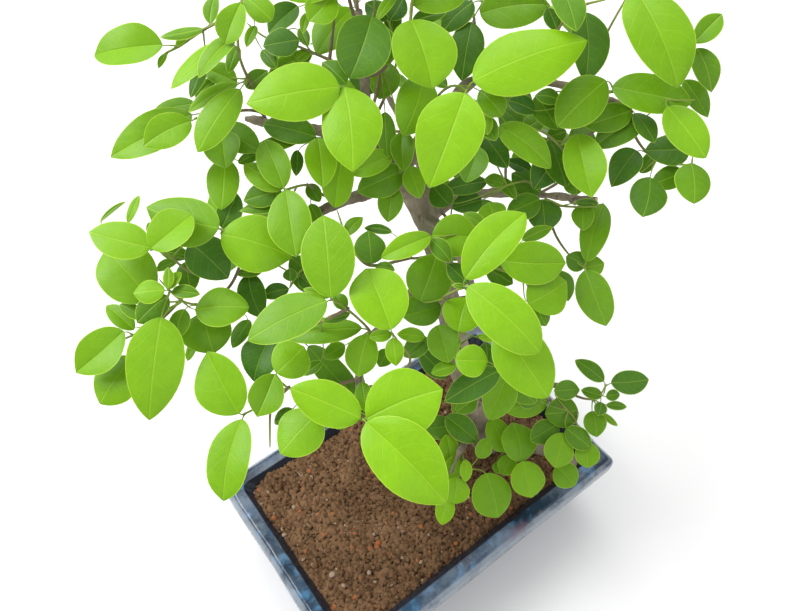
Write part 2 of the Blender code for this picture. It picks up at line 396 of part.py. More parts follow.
def blade_solid(blade, stations, fatten=0.0):
    """One leaf: a stalk from the twig, then a thin blade with a keel under its rib, in one closed solid."""
    axis = blade.tip - blade.foot
    side = unit(np.cross(blade.normal, axis))
    verts = stalk_rings(blade, side, STALK_RADIUS + 0.5 * fatten)
    for t in stations:
        centre = blade.foot + t * axis + 4 * t * (1 - t) * blade.arch * blade.normal
        reach = 0.5 * blade.width * half_width(t, blade.peak) + fatten
        above = fatten * blade.normal
        keel = (BLADE_THICKNESS + fatten) * blade.normal
        verts += [centre - reach * side + above, centre - keel, centre + reach * side + above]
    verts.append(blade.tip + fatten * unit(axis))
    last = len(verts) - 1
    first = last % 3
    faces = [(0, 2, 1), (0, 3, 2), (0, 1, 3)] if first else [(0, 2, 1)]
    for ring in range(first, last - 3, 3):
        a, b, c = ring, ring + 1, ring + 2
        # each strip is split from the keel to the margin, so the two sides never cross
        faces += [(a, b, a + 3), (b, b + 3, a + 3), (b, c, c + 3), (b, c + 3, b + 3)]
        faces += [(c, a, c + 3), (a, a + 3, c + 3)]
    faces += [(last - 3, last - 2, last), (last - 2, last - 1, last), (last - 1, last - 3, last)]
    return np.array(verts), faces


def triangles(faces):
    return [(face[0], face[k], face[k + 1]) for face in faces for k in range(1, len(face) - 1)]


def crosses_itself(solid):
    """True where two triangles of the solid that share no corner meet."""
    verts, faces = solid
    tree = tree_of(solid)
    corners = [set(corner) for corner in triangles(faces)]
    return any(a < b and not corners[a] & corners[b] for a, b in tree.overlap(tree))


def tree_of(solid):
    verts, faces = solid
    return BVHTree.FromPolygons([tuple(v) for v in verts], triangles(faces), epsilon=0.0)


def crosses(tree, others):
    return any(tree.overlap(other) for other in others)


def limb_path(name, steps=2):
    """A limb's centre line and its radius at each point."""
    points, start, end = LIMBS[name]
    path = smooth_path(points, steps)
    share = np.linspace(0, 1, len(path))
    return path, start + (end - start) * share**0.8


def off_limb(name, points):
    """Where a shoot may start beside its limb, the places with least bend first: its foot just clear of
    the bark, and a knee straight out from there."""
    path, radii = limb_path(name, 6)
    reach = points[0] - path
    distance = np.linalg.norm(reach, axis=1)
    bend = 1 - reach @ unit(points[1] - points[0]) / distance
    starts = []
    for pick in np.argsort(distance + 0.012 * bend)[:14]:
        way = unit(path[pick] - path[pick - 1]) if pick else unit(path[1] - path[0])
        out = unit(reach[pick] - way * (reach[pick] @ way))
        knee = 0.003 if distance[pick] - radii[pick] > 0.009 else 0.0015
        starts.append((path[pick] + out * (radii[pick] + GAP), path[pick] + out * (radii[pick] + knee)))
    return starts


def clear_of_limbs(path, first):
    """The path with its points moved out of the limbs they would cross."""
    path = path.copy()
    for name in LIMBS:
        centres, radii = limb_path(name, 6)
        for k in range(first, len(path)):
            away = path[k] - centres
            distance = np.linalg.norm(away, axis=1)
            near = np.argmin(distance - radii)
            need = radii[near] + 2.2 * TWIG_RADIUS
            if distance[near] < need:
                path[k] = path[k] + away[near] / distance[near] * (need - distance[near])
    return path


def relaxed(path, first, most=math.radians(32)):
    """The path with its sharp bends eased and both its ends kept."""
    path = path.copy()
    for _ in range(80):
        ways = unit_rows(np.diff(path, axis=0))
        bends = np.arccos(np.clip(np.sum(ways[1:] * ways[:-1], axis=1), -1, 1))
        sharp = [k + 1 for k in range(len(bends)) if bends[k] > most and k + 1 > first]
        if not sharp:
            break
        for k in sharp:
            path[k] = 0.5 * path[k] + 0.25 * (path[k - 1] + path[k + 1])
    return path


def eased(path):
    for _ in range(4):
        path = relaxed(clear_of_limbs(path, 2), 1)
    return path


def stem_tree(path):
    return tree_of(tube(path, stem_radii(path) + 0.0004, STEM_SIDES))


def drawn_path(points):
    return smooth_path(points, 2 if len(points) < 5 else 1)


def stem_paths(shoot, obstacles):
    """A shoot's stems: the first starts at the limb, the others in the ones before. Where they would cross
    something they start elsewhere on the limb, or stand nearer to the viewer or farther away."""
    for shift in (0, -3, 3, -6, 6, -9, 9, -12, 12):
        drawn = [[sight(x, y, (distance + shift) / 1000) for x, y, distance in stem] for stem in shoot.stems]
        for foot, knee in off_limb(shoot.limb, drawn[0]):
            paths = [eased(np.vstack([[foot], drawn_path([knee, *drawn[0]])]))]
            for points in drawn[1:]:
                made = np.vstack(paths)
                start = made[np.argmin(np.linalg.norm(made - points[0], axis=1))]
                paths.append(eased(drawn_path([start, *points[1:]])))
            if not any(crosses(stem_tree(path), obstacles) for path in paths):
                return paths
    return None


def joints(path):
    """Where leaves may join a stem: its points after the first, and one just inside its end."""
    return np.vstack([path[1:-1], [path[-1] + 0.0009 * unit(path[-2] - path[-1])]])


def leaf_normal(axis, turn):
    """The way a blade faces: between the viewer and the sky, square to its axis, turned a little."""
    face = -FORWARD + 0.45 * SKY
    face = unit(face - axis * (face @ axis) / (axis @ axis))
    side = unit(np.cross(face, axis))
    return unit(math.cos(turn) * face + math.sin(turn) * side)


def placed_blade(leaf, stems, extra, dice):
    """The blade that shows where the leaf says, moved along its sight line by extra metres."""
    tilt, turn, arch = dice
    ways = np.vstack([joints(path)[2:] if k == 0 else joints(path) for k, path in enumerate(stems)])
    x, y, distance = picture(ways)
    near = np.argmin((x - leaf.foot_x)**2 + (y - leaf.foot_y)**2)
    reach = distance[near] + leaf.behind / 1000 + extra
    foot = sight(leaf.foot_x, leaf.foot_y, reach)
    level = unit(-FORWARD + 0.45 * SKY)
    ray = sight(leaf.tip_x, leaf.tip_y, 1.0) - EYE
    tip_reach = (level @ (foot - EYE)) / (level @ ray)
    length = math.hypot(leaf.tip_x - leaf.foot_x, leaf.tip_y - leaf.foot_y) * reach / FOCAL
    tip_reach = min(max(tip_reach, reach - 0.45 * length), reach + 0.45 * length) + tilt * length
    tip = EYE + tip_reach * ray
    axis = tip - foot
    reaches = foot - ways
    apart = np.linalg.norm(reaches, axis=1)
    joint = ways[np.argmin(apart + 0.010 * (1 - reaches @ unit(axis) / apart))]
    if np.linalg.norm(foot - joint) < 0.0015:
        foot = joint + 0.0015 * unit(axis)
    normal = leaf_normal(axis, turn)
    side = unit(np.cross(normal, axis))
    across = np.array([-(leaf.tip_y - leaf.foot_y), -(leaf.tip_x - leaf.foot_x)], float)
    seen = abs(np.array([side @ RIGHT, side @ UP]) @ across) / np.linalg.norm(across)
    width = leaf.width * 0.5 * (reach + tip_reach) / FOCAL / max(seen, 0.5)
    return Blade(joint, foot, tip, normal, width, arch * length, leaf.peak, leaf.tone)


def blade_stations(blade):
    return (0.20, 0.52, 0.84) if blade.width > BROAD_BLADE else (0.30, 0.75)


def blade_trees(blade):
    """The blade a little fattened, for the crossing tests: with its stalk, and without."""
    short = blade._replace(joint=blade.foot + 0.02 * (blade.tip - blade.foot))
    whole, clear = (blade_solid(each, (0.20, 0.52, 0.84), 0.0004) for each in (blade, short))
    return tree_of(whole), tree_of(clear)


def settle(leaf, stems, own, others, dice):
    """The blade at the nearest place along its sight line where it crosses nothing that stands already."""
    for step in (0, 2, -2, 4, -4, 6, -6, 9, -9, 12, -12, 16, -16, 20, -20, 24, -24, 28, 34, 40):
        blade = placed_blade(leaf, stems, step / 1000, dice)
        whole, short = blade_trees(blade)
        if crosses(whole, others) or crosses(short, own):
            continue
        if not crosses_itself(blade_solid(blade, blade_stations(blade))):
            return blade, whole, short
    return None, None, None


def outline_cover(blades):
    """A map of the picture in cells of 4: the distance of the nearest blade, or far where there is none."""
    cell = 4
    grid_y, grid_x = np.mgrid[-2:PICTURE_BOTTOM:cell, 0:800:cell].astype(float)
    nearest = np.full(grid_x.shape, 9.0)
    for blade in blades:
        (x0, x1), (y0, y1), (d0, d1) = picture(np.array([blade.foot, blade.tip]))
        length = math.hypot(x1 - x0, y1 - y0)
        along = ((grid_x - x0) * (x1 - x0) + (grid_y - y0) * (y1 - y0)) / length**2
        across = abs((grid_x - x0) * (y1 - y0) - (grid_y - y0) * (x1 - x0)) / length
        inside = (along > 0.02) & (along < 0.98)
        limit = 0.5 * blade.width * FOCAL / d0 * half_width(np.clip(along, 0, 1), blade.peak)
        hit = inside & (across < limit - 1)
        nearest[hit] = np.minimum(nearest[hit], d0 + (d1 - d0) * along[hit])
    return nearest, cell


def out_of_sight(blade, cover):
    """True where the picture wouldn't show the blade: above its top edge, or behind what shows."""
    nearest, cell = cover
    axis = blade.tip - blade.foot
    side = unit(np.cross(blade.normal, axis))
    points = [blade.foot + t * axis + s * 0.5 * blade.width * half_width(t, blade.peak) * side
              for t in (0.05, 0.3, 0.55, 0.8, 0.97) for s in (-1, 0, 1)]
    x, y, distance = picture(np.array(points))
    for px, py, reach in zip(x, y, distance):
        if py < -10 or py > PICTURE_BOTTOM or not 0 < px < 796:
            continue
        if nearest[int((py + 2) / cell), int(px / cell)] > reach - 0.004:
            return False
    return True


def grown_shoot(spec, obstacles, cover, dice):
    """A shoot by rule: a stem that turns up to the light, with crossed pairs of leaves."""
    limb, place, heading, length, pairs = spec
    path, _ = limb_path(limb, 6)
    start = path[int(place * (len(path) - 1))]
    heading = unit(np.array(heading))
    foot, knee = off_limb(limb, [start + 0.010 * heading, start + 0.020 * heading])[0]
    points = [knee]
    for k in range(1, pairs + 1):
        heading = unit(heading + 0.16 * SKY + np.array([dice.uniform(-0.12, 0.12) for _ in range(3)]))
        points.append(points[-1] + heading * length / pairs)
    stem = relaxed(np.vstack([[foot], drawn_path(points)]), 1)
    blades, own, wholes = [], [], []
    for k in range(1, pairs + 1):
        places = joints(stem)
        joint = places[np.argmin(np.linalg.norm(places - points[k], axis=1))]
        way = unit(points[k] - points[k - 1])
        across = unit(np.cross(way, SKY))
        if k % 2 == 0:
            across = np.cross(way, across)
        size = dice.uniform(0.024, 0.034) * (0.75 if k == pairs else 1.0)
        for sign in (1, -1):
            for lean in (0.55, 0.9, 0.25, 1.3, -0.1):
                axis = unit(sign * across + lean * way + 0.10 * SKY)
                normal = SKY + 0.5 * way - axis * ((SKY + 0.5 * way) @ axis)
                foot = joint + 0.0035 * axis
                blade = Blade(joint, foot, foot + size * axis, unit(normal), size * dice.uniform(0.54, 0.66),
                              0.07 * size, 0.45, dice.uniform(0.3, 0.8))
                whole, short = blade_trees(blade)
                if out_of_sight(blade, cover) and not crosses(whole, obstacles) and not crosses(short, own):
                    blades.append(blade)
                    own.append(short)
                    wholes.append(whole)
                    break
    return stem, blades, wholes


def mesh_object(name, solid):
    verts, faces = solid
    mesh = bpy.data.meshes.new(name)
    mesh.from_pydata([tuple(v) for v in verts], [], [tuple(f) for f in faces])
    made = bpy.data.objects.new(name, mesh)
    bpy.context.scene.collection.objects.link(made)
    return made


def boolean(made, others, operation, solver="EXACT"):
    """One Boolean of all the others on the object, applied, and the others removed."""
    tools = bpy.data.collections.new(made.name + "_tools")
    bpy.context.scene.collection.children.link(tools)
    for other in others:
        bpy.context.scene.collection.objects.unlink(other)
        tools.objects.link(other)
    cut = made.modifiers.new("boolean", "BOOLEAN")
    cut.operation, cut.operand_type, cut.collection, cut.solver = operation, "COLLECTION", tools, solver
    graph = bpy.context.evaluated_depsgraph_get()
    result = bpy.data.meshes.new_from_object(made.evaluated_get(graph))
    made.modifiers.clear()
    made.data = result
    for other in list(tools.objects):
        bpy.data.objects.remove(other)
    bpy.data.collections.remove(tools)
    return made


def cut_to_triangles(made):
    """Split the faces into triangles, and tell whether each edge has two of them."""
    grid = bmesh.new()
    grid.from_mesh(made.data)
    bmesh.ops.triangulate(grid, faces=grid.faces)
    grid.to_mesh(made.data)
    closed = all(len(edge.link_faces) == 2 for edge in grid.edges)
    grid.free()
    return closed


def fuse(name, solids):
    """One closed body of all the solids. Where the exact solver leaves an open edge, the manifold solver
    takes over, and each further try shifts the solids by some thousandths of a millimetre."""
    made = None
    for attempt, solver in enumerate(["EXACT", "MANIFOLD"] * 4):
        if made:
            bpy.data.objects.remove(made)
        dice = random.Random(attempt // 2)
        pieces = []
        for k, (verts, faces) in enumerate(solids):
            shift = [attempt // 2 * dice.uniform(-4e-6, 4e-6) for _ in range(3)]
            pieces.append(mesh_object(f"{name}_{k}", (np.asarray(verts) + shift, triangles(faces))))
        made = boolean(pieces[0], pieces[1:], "UNION", solver)
        if cut_to_triangles(made):
            break
    else:
        print("open edges are left in", name)
    if attempt:
        print(name, "was fused at try", attempt, "by", solver)
    made.name = name
    return made


def paint(made, colour, roughness, metallic=0.0):
    """A material of its own, and smooth shading that keeps edges over 35 degrees sharp."""
    material = bpy.data.materials.new(made.name)
    material.use_nodes = True
    shader = material.node_tree.nodes["Principled BSDF"]
    shader.inputs["Base Color"].default_value = (*colour, 1.0)
    shader.inputs["Roughness"].default_value = roughness
    shader.inputs["Metallic"].default_value = metallic
    made.data.materials.clear()
    made.data.materials.append(material)
    made.data.shade_smooth()
    made.data.set_sharp_from_angle(angle=math.radians(35))


# Pot wall from the outer foot over the lip to the inner floor: how far in from the lip's outer edge,
# the height, and the corner radius, in millimetres
POT_RINGS = [
    (13.0, 0.0, 11.0), (11.4, 1.8, 12.0), (7.4, 20.0, 14.0), (3.6, 37.6, 13.0), (0.7, 39.6, 3.6),
    (0.0, 41.2, 3.0), (0.0, 50.2, 3.0), (1.4, 53.2, 2.8), (4.2, 55.0, 2.4), (8.8, 55.0, 3.6),
    (10.2, 53.9, 4.4), (15.2, 43.0, 7.0), (16.8, 20.0, 8.0), (20.0, 9.0, 8.0)]
LIP_INNER, LIP_LOW = 10, 11
CORNER_STEPS = 4
STEM_SIDES = 4


def rounded_rectangle(inset, height, radius, long_steps, short_steps):
    """A ring round the pot, corner by corner from +X +Y, with points along the straight sides too."""
    half_x, half_y = POT_LENGTH / 2 - inset, POT_WIDTH / 2 - inset
    ring = []
    for quarter, (sx, sy) in enumerate([(1, 1), (-1, 1), (-1, -1), (1, -1)]):
        cx, cy = sx * (half_x - radius), sy * (half_y - radius)
        for k in range(CORNER_STEPS + 1):
            angle = math.pi / 2 * (quarter + k / CORNER_STEPS)
            ring.append((cx + radius * math.cos(angle), cy + radius * math.sin(angle), height))
        steps = long_steps if quarter % 2 == 0 else short_steps
        tx, ty = (-1, 0) if quarter == 0 else (0, -1) if quarter == 1 else (1, 0) if quarter == 2 else (0, 1)
        run = 2 * ((half_x if quarter % 2 == 0 else half_y) - radius)
        end = ring[-1]
        for k in range(1, steps):
            ring.append((end[0] + tx * run * k / steps, end[1] + ty * run * k / steps, height))
    return np.array(ring)


def ring_of(index, extra=0.0, long_steps=1, short_steps=1):
    inset, height, radius = (value / 1000 for value in POT_RINGS[index])
    return rounded_rectangle(inset + extra, height, radius - extra, long_steps, short_steps)


def loft(rings):
    """A closed solid through rings of equal length, with flat ends."""
    count = len(rings[0])
    faces = [tuple(range(count))[::-1], tuple(range(count * (len(rings) - 1), count * len(rings)))]
    for ring in range(len(rings) - 1):
        for k in range(count):
            a, b = ring * count + k, ring * count + (k + 1) % count
            faces.append((a, b, b + count, a + count))
    return np.vstack(rings), faces


def build_pot():
    """One loft up the outer wall, over the lip and down inside, with two drain holes in the floor."""
    body = loft([ring_of(k) for k in range(len(POT_RINGS))])
    pot = mesh_object("pot", body)
    drills = []
    for sign in (-1, 1):
        path = np.array([(sign * DRAIN_HOLE_X, 0, -0.004), (sign * DRAIN_HOLE_X, 0, 0.014)])
        drills.append(mesh_object(f"drill_{sign + 1}", tube(path, [DRAIN_HOLE_RADIUS] * 2, 12)))
    boolean(pot, drills, "DIFFERENCE")
    paint(pot, (0.020, 0.045, 0.085), 0.22)
    return tree_of(body)


def soil_height(x, y):
    """The soil's top: higher at the back, a mound round the trunk, and lumps about 23 mm apart."""
    humps = 0.0009 * np.sin(95 * x + 1.3) * np.cos(120 * y) + 0.0006 * np.sin(210 * x - 160 * y)
    lumps = 0.0009 * np.sin(272 * x + 2.1 * np.sin(61 * y)) * np.sin(266 * y + 1.7 * np.sin(57 * x) + 0.6)
    mound = 0.0022 * np.exp(-((x - 0.048)**2 + (y + 0.007)**2) / 0.018**2)
    return SOIL_LEVEL + SOIL_TILT * y + humps + lumps + mound


def build_soil():
    """Soil that fills the pot, 0.3 mm clear of its wall, with a plain hole for the trunk's foot."""
    floor, side, low, high = (ring_of(index, GAP, 11, 7) for index in (13, 12, LIP_LOW, LIP_INNER))
    floor[:, 2] += GAP
    rings = [floor, side, low]
    edge = []
    for a, b in zip(low, high):
        share = (soil_height(a[0], a[1]) - 0.0008 - a[2]) / (b[2] - a[2])
        edge.append(a + share * (b - a))
    rings.append(np.array(edge))
    for scale in (0.92, 0.78, 0.63, 0.47, 0.31, 0.15):
        ring = rings[3] * (scale, scale, 1)
        ring[:, 2] = [soil_height(x, y) for x, y, _ in ring]
        rings.append(ring)
    body = loft(rings)
    soil = mesh_object("soil", body)
    foot = LIMBS["trunk"][0][0]
    hole = np.array([(foot[0], foot[1], TRUNK_FOOT_Z - GAP), (foot[0], foot[1], 0.075)])
    boolean(soil, [mesh_object("trunk_hole", tube(hole, [TRUNK_FOOT_RADIUS + 0.0005] * 2, 12))], "DIFFERENCE")
    paint(soil, (0.160, 0.085, 0.045), 0.95)
    return tree_of(body)


def build_trunk():
    """Trunk, limbs and the sawn stub in one, with the foot standing in its hole."""
    solids = []
    for name in LIMBS:
        path, radii = limb_path(name)
        if name == "trunk":
            foot = path[0]
            low = [(foot[0], foot[1], TRUNK_FOOT_Z), (foot[0], foot[1], foot[2] - 0.001)]
            path = np.vstack([low, path[1:]])
            flare = [TRUNK_FOOT_RADIUS, TRUNK_FOOT_RADIUS]
            radii = np.concatenate([flare, radii[1:]])
        solids.append(tube(path, radii, 10 if name == "trunk" else 6))
    trunk = fuse("trunk", solids)
    paint(trunk, (0.200, 0.150, 0.095), 0.85)
    return [tree_of(solid) for solid in solids]


def stem_radii(path):
    return np.linspace(1.30, 0.75, len(path)) * TWIG_RADIUS


def leaf_colour(tone):
    dark, bright = np.array([0.030, 0.110, 0.004]), np.array([0.250, 0.480, 0.006])
    return tuple(dark + (bright - dark) * tone)


def build_shoot(name, stems, blades):
    solids = [tube(path, stem_radii(path), STEM_SIDES) for path in stems]
    solids += [blade_solid(blade, blade_stations(blade)) for blade in blades]
    shoot = fuse(name, solids)
    paint(shoot, leaf_colour(float(np.mean([blade.tone for blade in blades]))), 0.45)


def clear_scene():
    for old in list(bpy.data.objects):
        bpy.data.objects.remove(old)


def all_shoots(solid_trees):
    """Every shoot's stems and blades. The shoots that show come first, and keep clear of all stems."""
    dice = random.Random(SEED)
    stems, stem_trees = {}, {}
    for name, shoot in SHOOTS.items():
        taken = [tree for group in stem_trees.values() for tree in group]
        stems[name] = stem_paths(shoot, solid_trees + taken)
        stem_trees[name] = [stem_tree(path) for path in stems[name]]
    blades, trees = {}, []
    for name, shoot in SHOOTS.items():
        others = [tree for other, group in stem_trees.items() if other != name for tree in group]
        blades[name], own, wholes = [], [], []
        for leaf in shoot.leaves:
            tilt = (dice.uniform(-0.10, 0.10), dice.uniform(-0.22, 0.22), dice.uniform(0.03, 0.09))
            blade, whole, short = settle(leaf, stems[name], own, solid_trees + others + trees, tilt)
            if blade:
                blades[name].append(blade)
                own.append(short)
                wholes.append(whole)
            else:
                print("no room for", name, leaf)
        trees += wholes
    cover = outline_cover([blade for group in blades.values() for blade in group])
    obstacles = solid_trees + [tree for group in stem_trees.values() for tree in group] + trees
    for name, spec in HIDDEN_SHOOTS.items():
        for _ in range(8):
            stem, grown, grown_trees = grown_shoot(spec, obstacles, cover, dice)
            body = stem_tree(stem)
            if len(grown) >= spec[-1] and not crosses(body, obstacles):
                stems[name], blades[name] = [stem], grown
                obstacles += grown_trees + [body]
                break
        else:
            print("left out", name)
    return stems, blades


def main():
    clear_scene()
    solid_trees = [build_pot(), build_soil(), *build_trunk()]
    stems, blades = all_shoots(solid_trees)
    for name in stems:
        build_shoot(name, stems[name], blades[name])
    print("blades:", sum(len(group) for group in blades.values()))


main()
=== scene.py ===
# %% [markdown]
# # A potted privet, leaf by leaf
# This lesson dresses a small privet tree in a glazed pot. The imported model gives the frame: where the pot,
# the soil, the trunk and every leafy shoot stand. Each of them gets a finer piece that keeps its place.
# The work goes from the camera and the light to the layout of the shoots, then to the leaves, the wood,
# the soil and the glaze.

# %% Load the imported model
import json
import math
import random
from collections import namedtuple

import bpy
import numpy as np
from mathutils import Matrix, Vector
from mathutils.bvhtree import BVHTree

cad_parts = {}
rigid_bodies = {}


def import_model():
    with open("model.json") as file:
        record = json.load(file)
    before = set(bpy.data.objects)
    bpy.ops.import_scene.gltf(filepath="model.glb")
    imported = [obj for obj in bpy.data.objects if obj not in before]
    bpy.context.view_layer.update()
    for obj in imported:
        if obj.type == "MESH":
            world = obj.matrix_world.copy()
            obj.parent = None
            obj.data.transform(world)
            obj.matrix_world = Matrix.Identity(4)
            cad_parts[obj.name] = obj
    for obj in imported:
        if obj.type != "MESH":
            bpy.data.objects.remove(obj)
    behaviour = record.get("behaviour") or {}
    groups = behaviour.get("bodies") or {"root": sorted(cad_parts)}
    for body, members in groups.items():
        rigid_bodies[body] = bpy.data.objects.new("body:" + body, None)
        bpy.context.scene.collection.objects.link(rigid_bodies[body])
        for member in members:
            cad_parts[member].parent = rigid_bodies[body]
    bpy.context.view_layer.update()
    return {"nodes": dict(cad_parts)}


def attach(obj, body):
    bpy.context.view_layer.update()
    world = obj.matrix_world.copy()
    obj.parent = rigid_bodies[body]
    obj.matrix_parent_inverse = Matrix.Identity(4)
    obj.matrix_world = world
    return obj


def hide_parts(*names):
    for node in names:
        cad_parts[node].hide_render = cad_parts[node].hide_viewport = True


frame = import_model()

print("nodes in the frame:", len(frame["nodes"]))

# %% [markdown]
# ## The eye
# The real tree was seen from above and from its near left corner. The view is written as a place, a turn
# and a downward angle, because the leaves are laid out along its lines of sight too. A camera in Blender
# takes its turn as a matrix whose columns are its right, its up and its backward way.

# %% The eye and its view
WIDE, HIGH = 800, 611
EYE = np.array([-0.110, -0.128, 0.474])
YAW, PITCH = math.radians(36.6), math.radians(55.4)
FOCAL, CENTRE_X, CENTRE_Y = 733.0, 400.0, 305.5
PICTURE_BOTTOM = HIGH
SENSOR = 36.0
FORWARD = np.array([math.sin(YAW) * math.cos(PITCH), math.cos(YAW) * math.cos(PITCH), -math.sin(PITCH)])
RIGHT = np.array([math.cos(YAW), -math.sin(YAW), 0.0])
UP = np.cross(RIGHT, FORWARD)
SKY = np.array([0.0, 0.0, 1.0])

camera = bpy.data.objects.new("camera", bpy.data.cameras.new("camera"))
camera.data.sensor_width = SENSOR
camera.data.lens = FOCAL / WIDE * SENSOR
camera.data.clip_start = 0.01
turned = Matrix(np.column_stack([RIGHT, UP, -FORWARD]).tolist()).to_4x4()
camera.matrix_world = Matrix.Translation(EYE.tolist()) @ turned
bpy.context.scene.collection.objects.link(camera)
bpy.context.scene.camera = camera
print("lens:", round(camera.data.lens, 2), "mm")

# %% [markdown]
# ## Floor and light
# The pot stood on plain white under soft daylight. A wide pale floor and a few large lamps do the same: a
# large lamp gives soft shadows, and a white world fills them. The key stands on the far left, so leaves
# shade each other, their gloss shows, and the tree's faint shadow falls to the right.

# %% Floor and lamps
def lamp(name, place, size, power):
    """A square lamp of a size in metres, turned to the tree."""
    made = bpy.data.objects.new(name, bpy.data.lights.new(name, "AREA"))
    made.data.size, made.data.energy = size, power
    made.location = place
    away = Vector(place) - Vector((0.02, 0.02, 0.18))
    made.rotation_euler = away.to_track_quat("Z", "Y").to_euler()
    bpy.context.scene.collection.objects.link(made)


FLOOR_HALF = 4.0
floor_mesh = bpy.data.meshes.new("floor")
floor_mesh.from_pydata([(-FLOOR_HALF, -FLOOR_HALF, 0), (FLOOR_HALF, -FLOOR_HALF, 0),
                        (FLOOR_HALF, FLOOR_HALF, 0), (-FLOOR_HALF, FLOOR_HALF, 0)], [], [(0, 1, 2, 3)])
floor = bpy.data.objects.new("floor", floor_mesh)
bpy.context.scene.collection.objects.link(floor)
floor_paint = bpy.data.materials.new("floor")
floor_paint.use_nodes = True
paint = floor_paint.node_tree.nodes["Principled BSDF"].inputs
paint["Base Color"].default_value = (0.93, 0.93, 0.93, 1)
paint["Roughness"].default_value = 0.9
paint["Specular IOR Level"].default_value = 0.1
floor.data.materials.append(floor_paint)

lamp("key", (-0.70, 0.75, 1.35), 0.8, 20)
lamp("fill", (-0.10, -1.00, 1.10), 1.2, 4)
lamp("top", (0.45, 0.60, 1.30), 0.9, 9)
world = bpy.data.worlds.new("soft white")
world.use_nodes = True
world.node_tree.nodes["Background"].inputs["Color"].default_value = (1, 1, 1, 1)
world.node_tree.nodes["Background"].inputs["Strength"].default_value = 0.62
bpy.context.scene.world = world
bpy.context.scene.view_settings.view_transform = "Standard"
print("lamps:", sum(each.type == "LIGHT" for each in bpy.data.objects))

# %% [markdown]
# ## Measures of the pot, the soil and the leaves
# Every size comes from a few named values, in metres. The pot's wall is a list of rings: how far in from
# the lip's outer edge, how high, and how round the corner is. The solids in the frame follow the same ones.

# %% Measures
# Driving dimensions, in metres
POT_LENGTH = 0.200
POT_WIDTH = 0.1306
POT_HEIGHT = 0.055
DRAIN_HOLE_RADIUS = 0.006
DRAIN_HOLE_X = 0.048
SOIL_LEVEL = 0.0485
SOIL_TILT = 0.045
GAP = 0.0003
TRUNK_FOOT_RADIUS = 0.0105
TRUNK_FOOT_Z = 0.031
TWIG_RADIUS = 0.0009
BLADE_THICKNESS = 0.0011
STALK_RADIUS = 0.0005
BROAD_BLADE = 0.018
SEED = 7
CORNER_STEPS = 4
STEM_SIDES = 4

# Pot wall from the outer foot over the lip to the inner floor: how far in from the lip's outer edge,
# the height, and the corner radius, in millimetres
POT_RINGS = [
    (13.0, 0.0, 11.0), (11.4, 1.8, 12.0), (7.4, 20.0, 14.0), (3.6, 37.6, 13.0), (0.7, 39.6, 3.6),
    (0.0, 41.2, 3.0), (0.0, 50.2, 3.0), (1.4, 53.2, 2.8), (4.2, 55.0, 2.4), (8.8, 55.0, 3.6),
    (10.2, 53.9, 4.4), (15.2, 43.0, 7.0), (16.8, 20.0, 8.0), (20.0, 9.0, 8.0)]
LIP_INNER, LIP_LOW = 10, 11
print("pot:", POT_LENGTH, "by", POT_WIDTH, "by", POT_HEIGHT, "m")

# %% [markdown]
# ## The layout of the tree
# A shoot is a limb to start from, the twigs as points of the view with their distance from the eye, and
# its leaves. A leaf says where its foot and its tip show, how wide it looks, how far it stands behind its
# twig, how bright it is, and where it is widest. A table like this is drawn once for each leaf.

# %% Limbs, shoots and leaves
Shoot = namedtuple("Shoot", "limb stems leaves")
# x and y of the blade's foot and tip in the picture, its width there, how many millimetres it stands
# behind its twig, its tone from 0 dark to 1 bright, which is its own colour and painted shade together,
# and where along it the blade is widest
Leaf = namedtuple("Leaf", "foot_x foot_y tip_x tip_y width behind tone peak", defaults=(0.45,))
Blade = namedtuple("Blade", "joint foot tip normal width arch peak tone")

# Limbs of the tree: centre points in metres, then the radius at the start and the end
LIMBS = {
    "trunk": (
        [(0.048, -0.007, 0.052), (0.043, -0.004, 0.080), (0.038, 0.004, 0.105), (0.040, 0.026, 0.140),
         (0.045, 0.045, 0.175), (0.042, 0.058, 0.205), (0.030, 0.062, 0.235), (0.016, 0.068, 0.262)],
        0.0092, 0.0046),
    "crown": ([(0.018, 0.067, 0.258), (0.026, 0.080, 0.280), (0.034, 0.094, 0.300)], 0.0032, 0.0018),
    "right": (
        [(0.0425, 0.057, 0.203), (0.058, 0.054, 0.207), (0.0747, 0.0466, 0.209), (0.088, 0.028, 0.215),
         (0.101, 0.006, 0.222)],
        0.0034, 0.0014),
    "upper_right": (
        [(0.030, 0.062, 0.233), (0.052, 0.064, 0.256), (0.0765, 0.0592, 0.270), (0.100, 0.036, 0.268),
         (0.119, 0.012, 0.262)],
        0.0034, 0.0013),
    "left": (
        [(0.031, 0.062, 0.230), (0.000, 0.069, 0.229), (-0.036, 0.074, 0.226), (-0.070, 0.079, 0.222)],
        0.0034, 0.0014),
    "upper_left": ([(0.016, 0.068, 0.260), (0.0016, 0.090, 0.258), (-0.016, 0.113, 0.256)], 0.0030, 0.0014),
    "near_left": (
        [(0.0445, 0.044, 0.172), (0.012, 0.034, 0.183), (-0.022, 0.018, 0.192), (-0.040, -0.006, 0.196)],
        0.0034, 0.0015),
    "near_right": (
        [(0.042, 0.057, 0.205), (0.040, 0.036, 0.212), (0.032, 0.014, 0.214), (0.026, 0.000, 0.214)],
        0.0032, 0.0015),
    "back": ([(0.0445, 0.048, 0.180), (0.060, 0.082, 0.205), (0.062, 0.116, 0.232)], 0.0032, 0.0014),
    "low_right": ([(0.0385, 0.003, 0.103), (0.062, -0.012, 0.112), (0.080, -0.030, 0.118)], 0.0028, 0.0012),
    "low_left": ([(0.044, -0.005, 0.074), (0.020, -0.012, 0.084), (0.004, -0.022, 0.090)], 0.0028, 0.0013),
    "root_stub": (
        [(0.0475, -0.0075, 0.062), (0.062, -0.030, 0.061), (0.0775, -0.0500, 0.0585)], 0.0042, 0.0029),
}

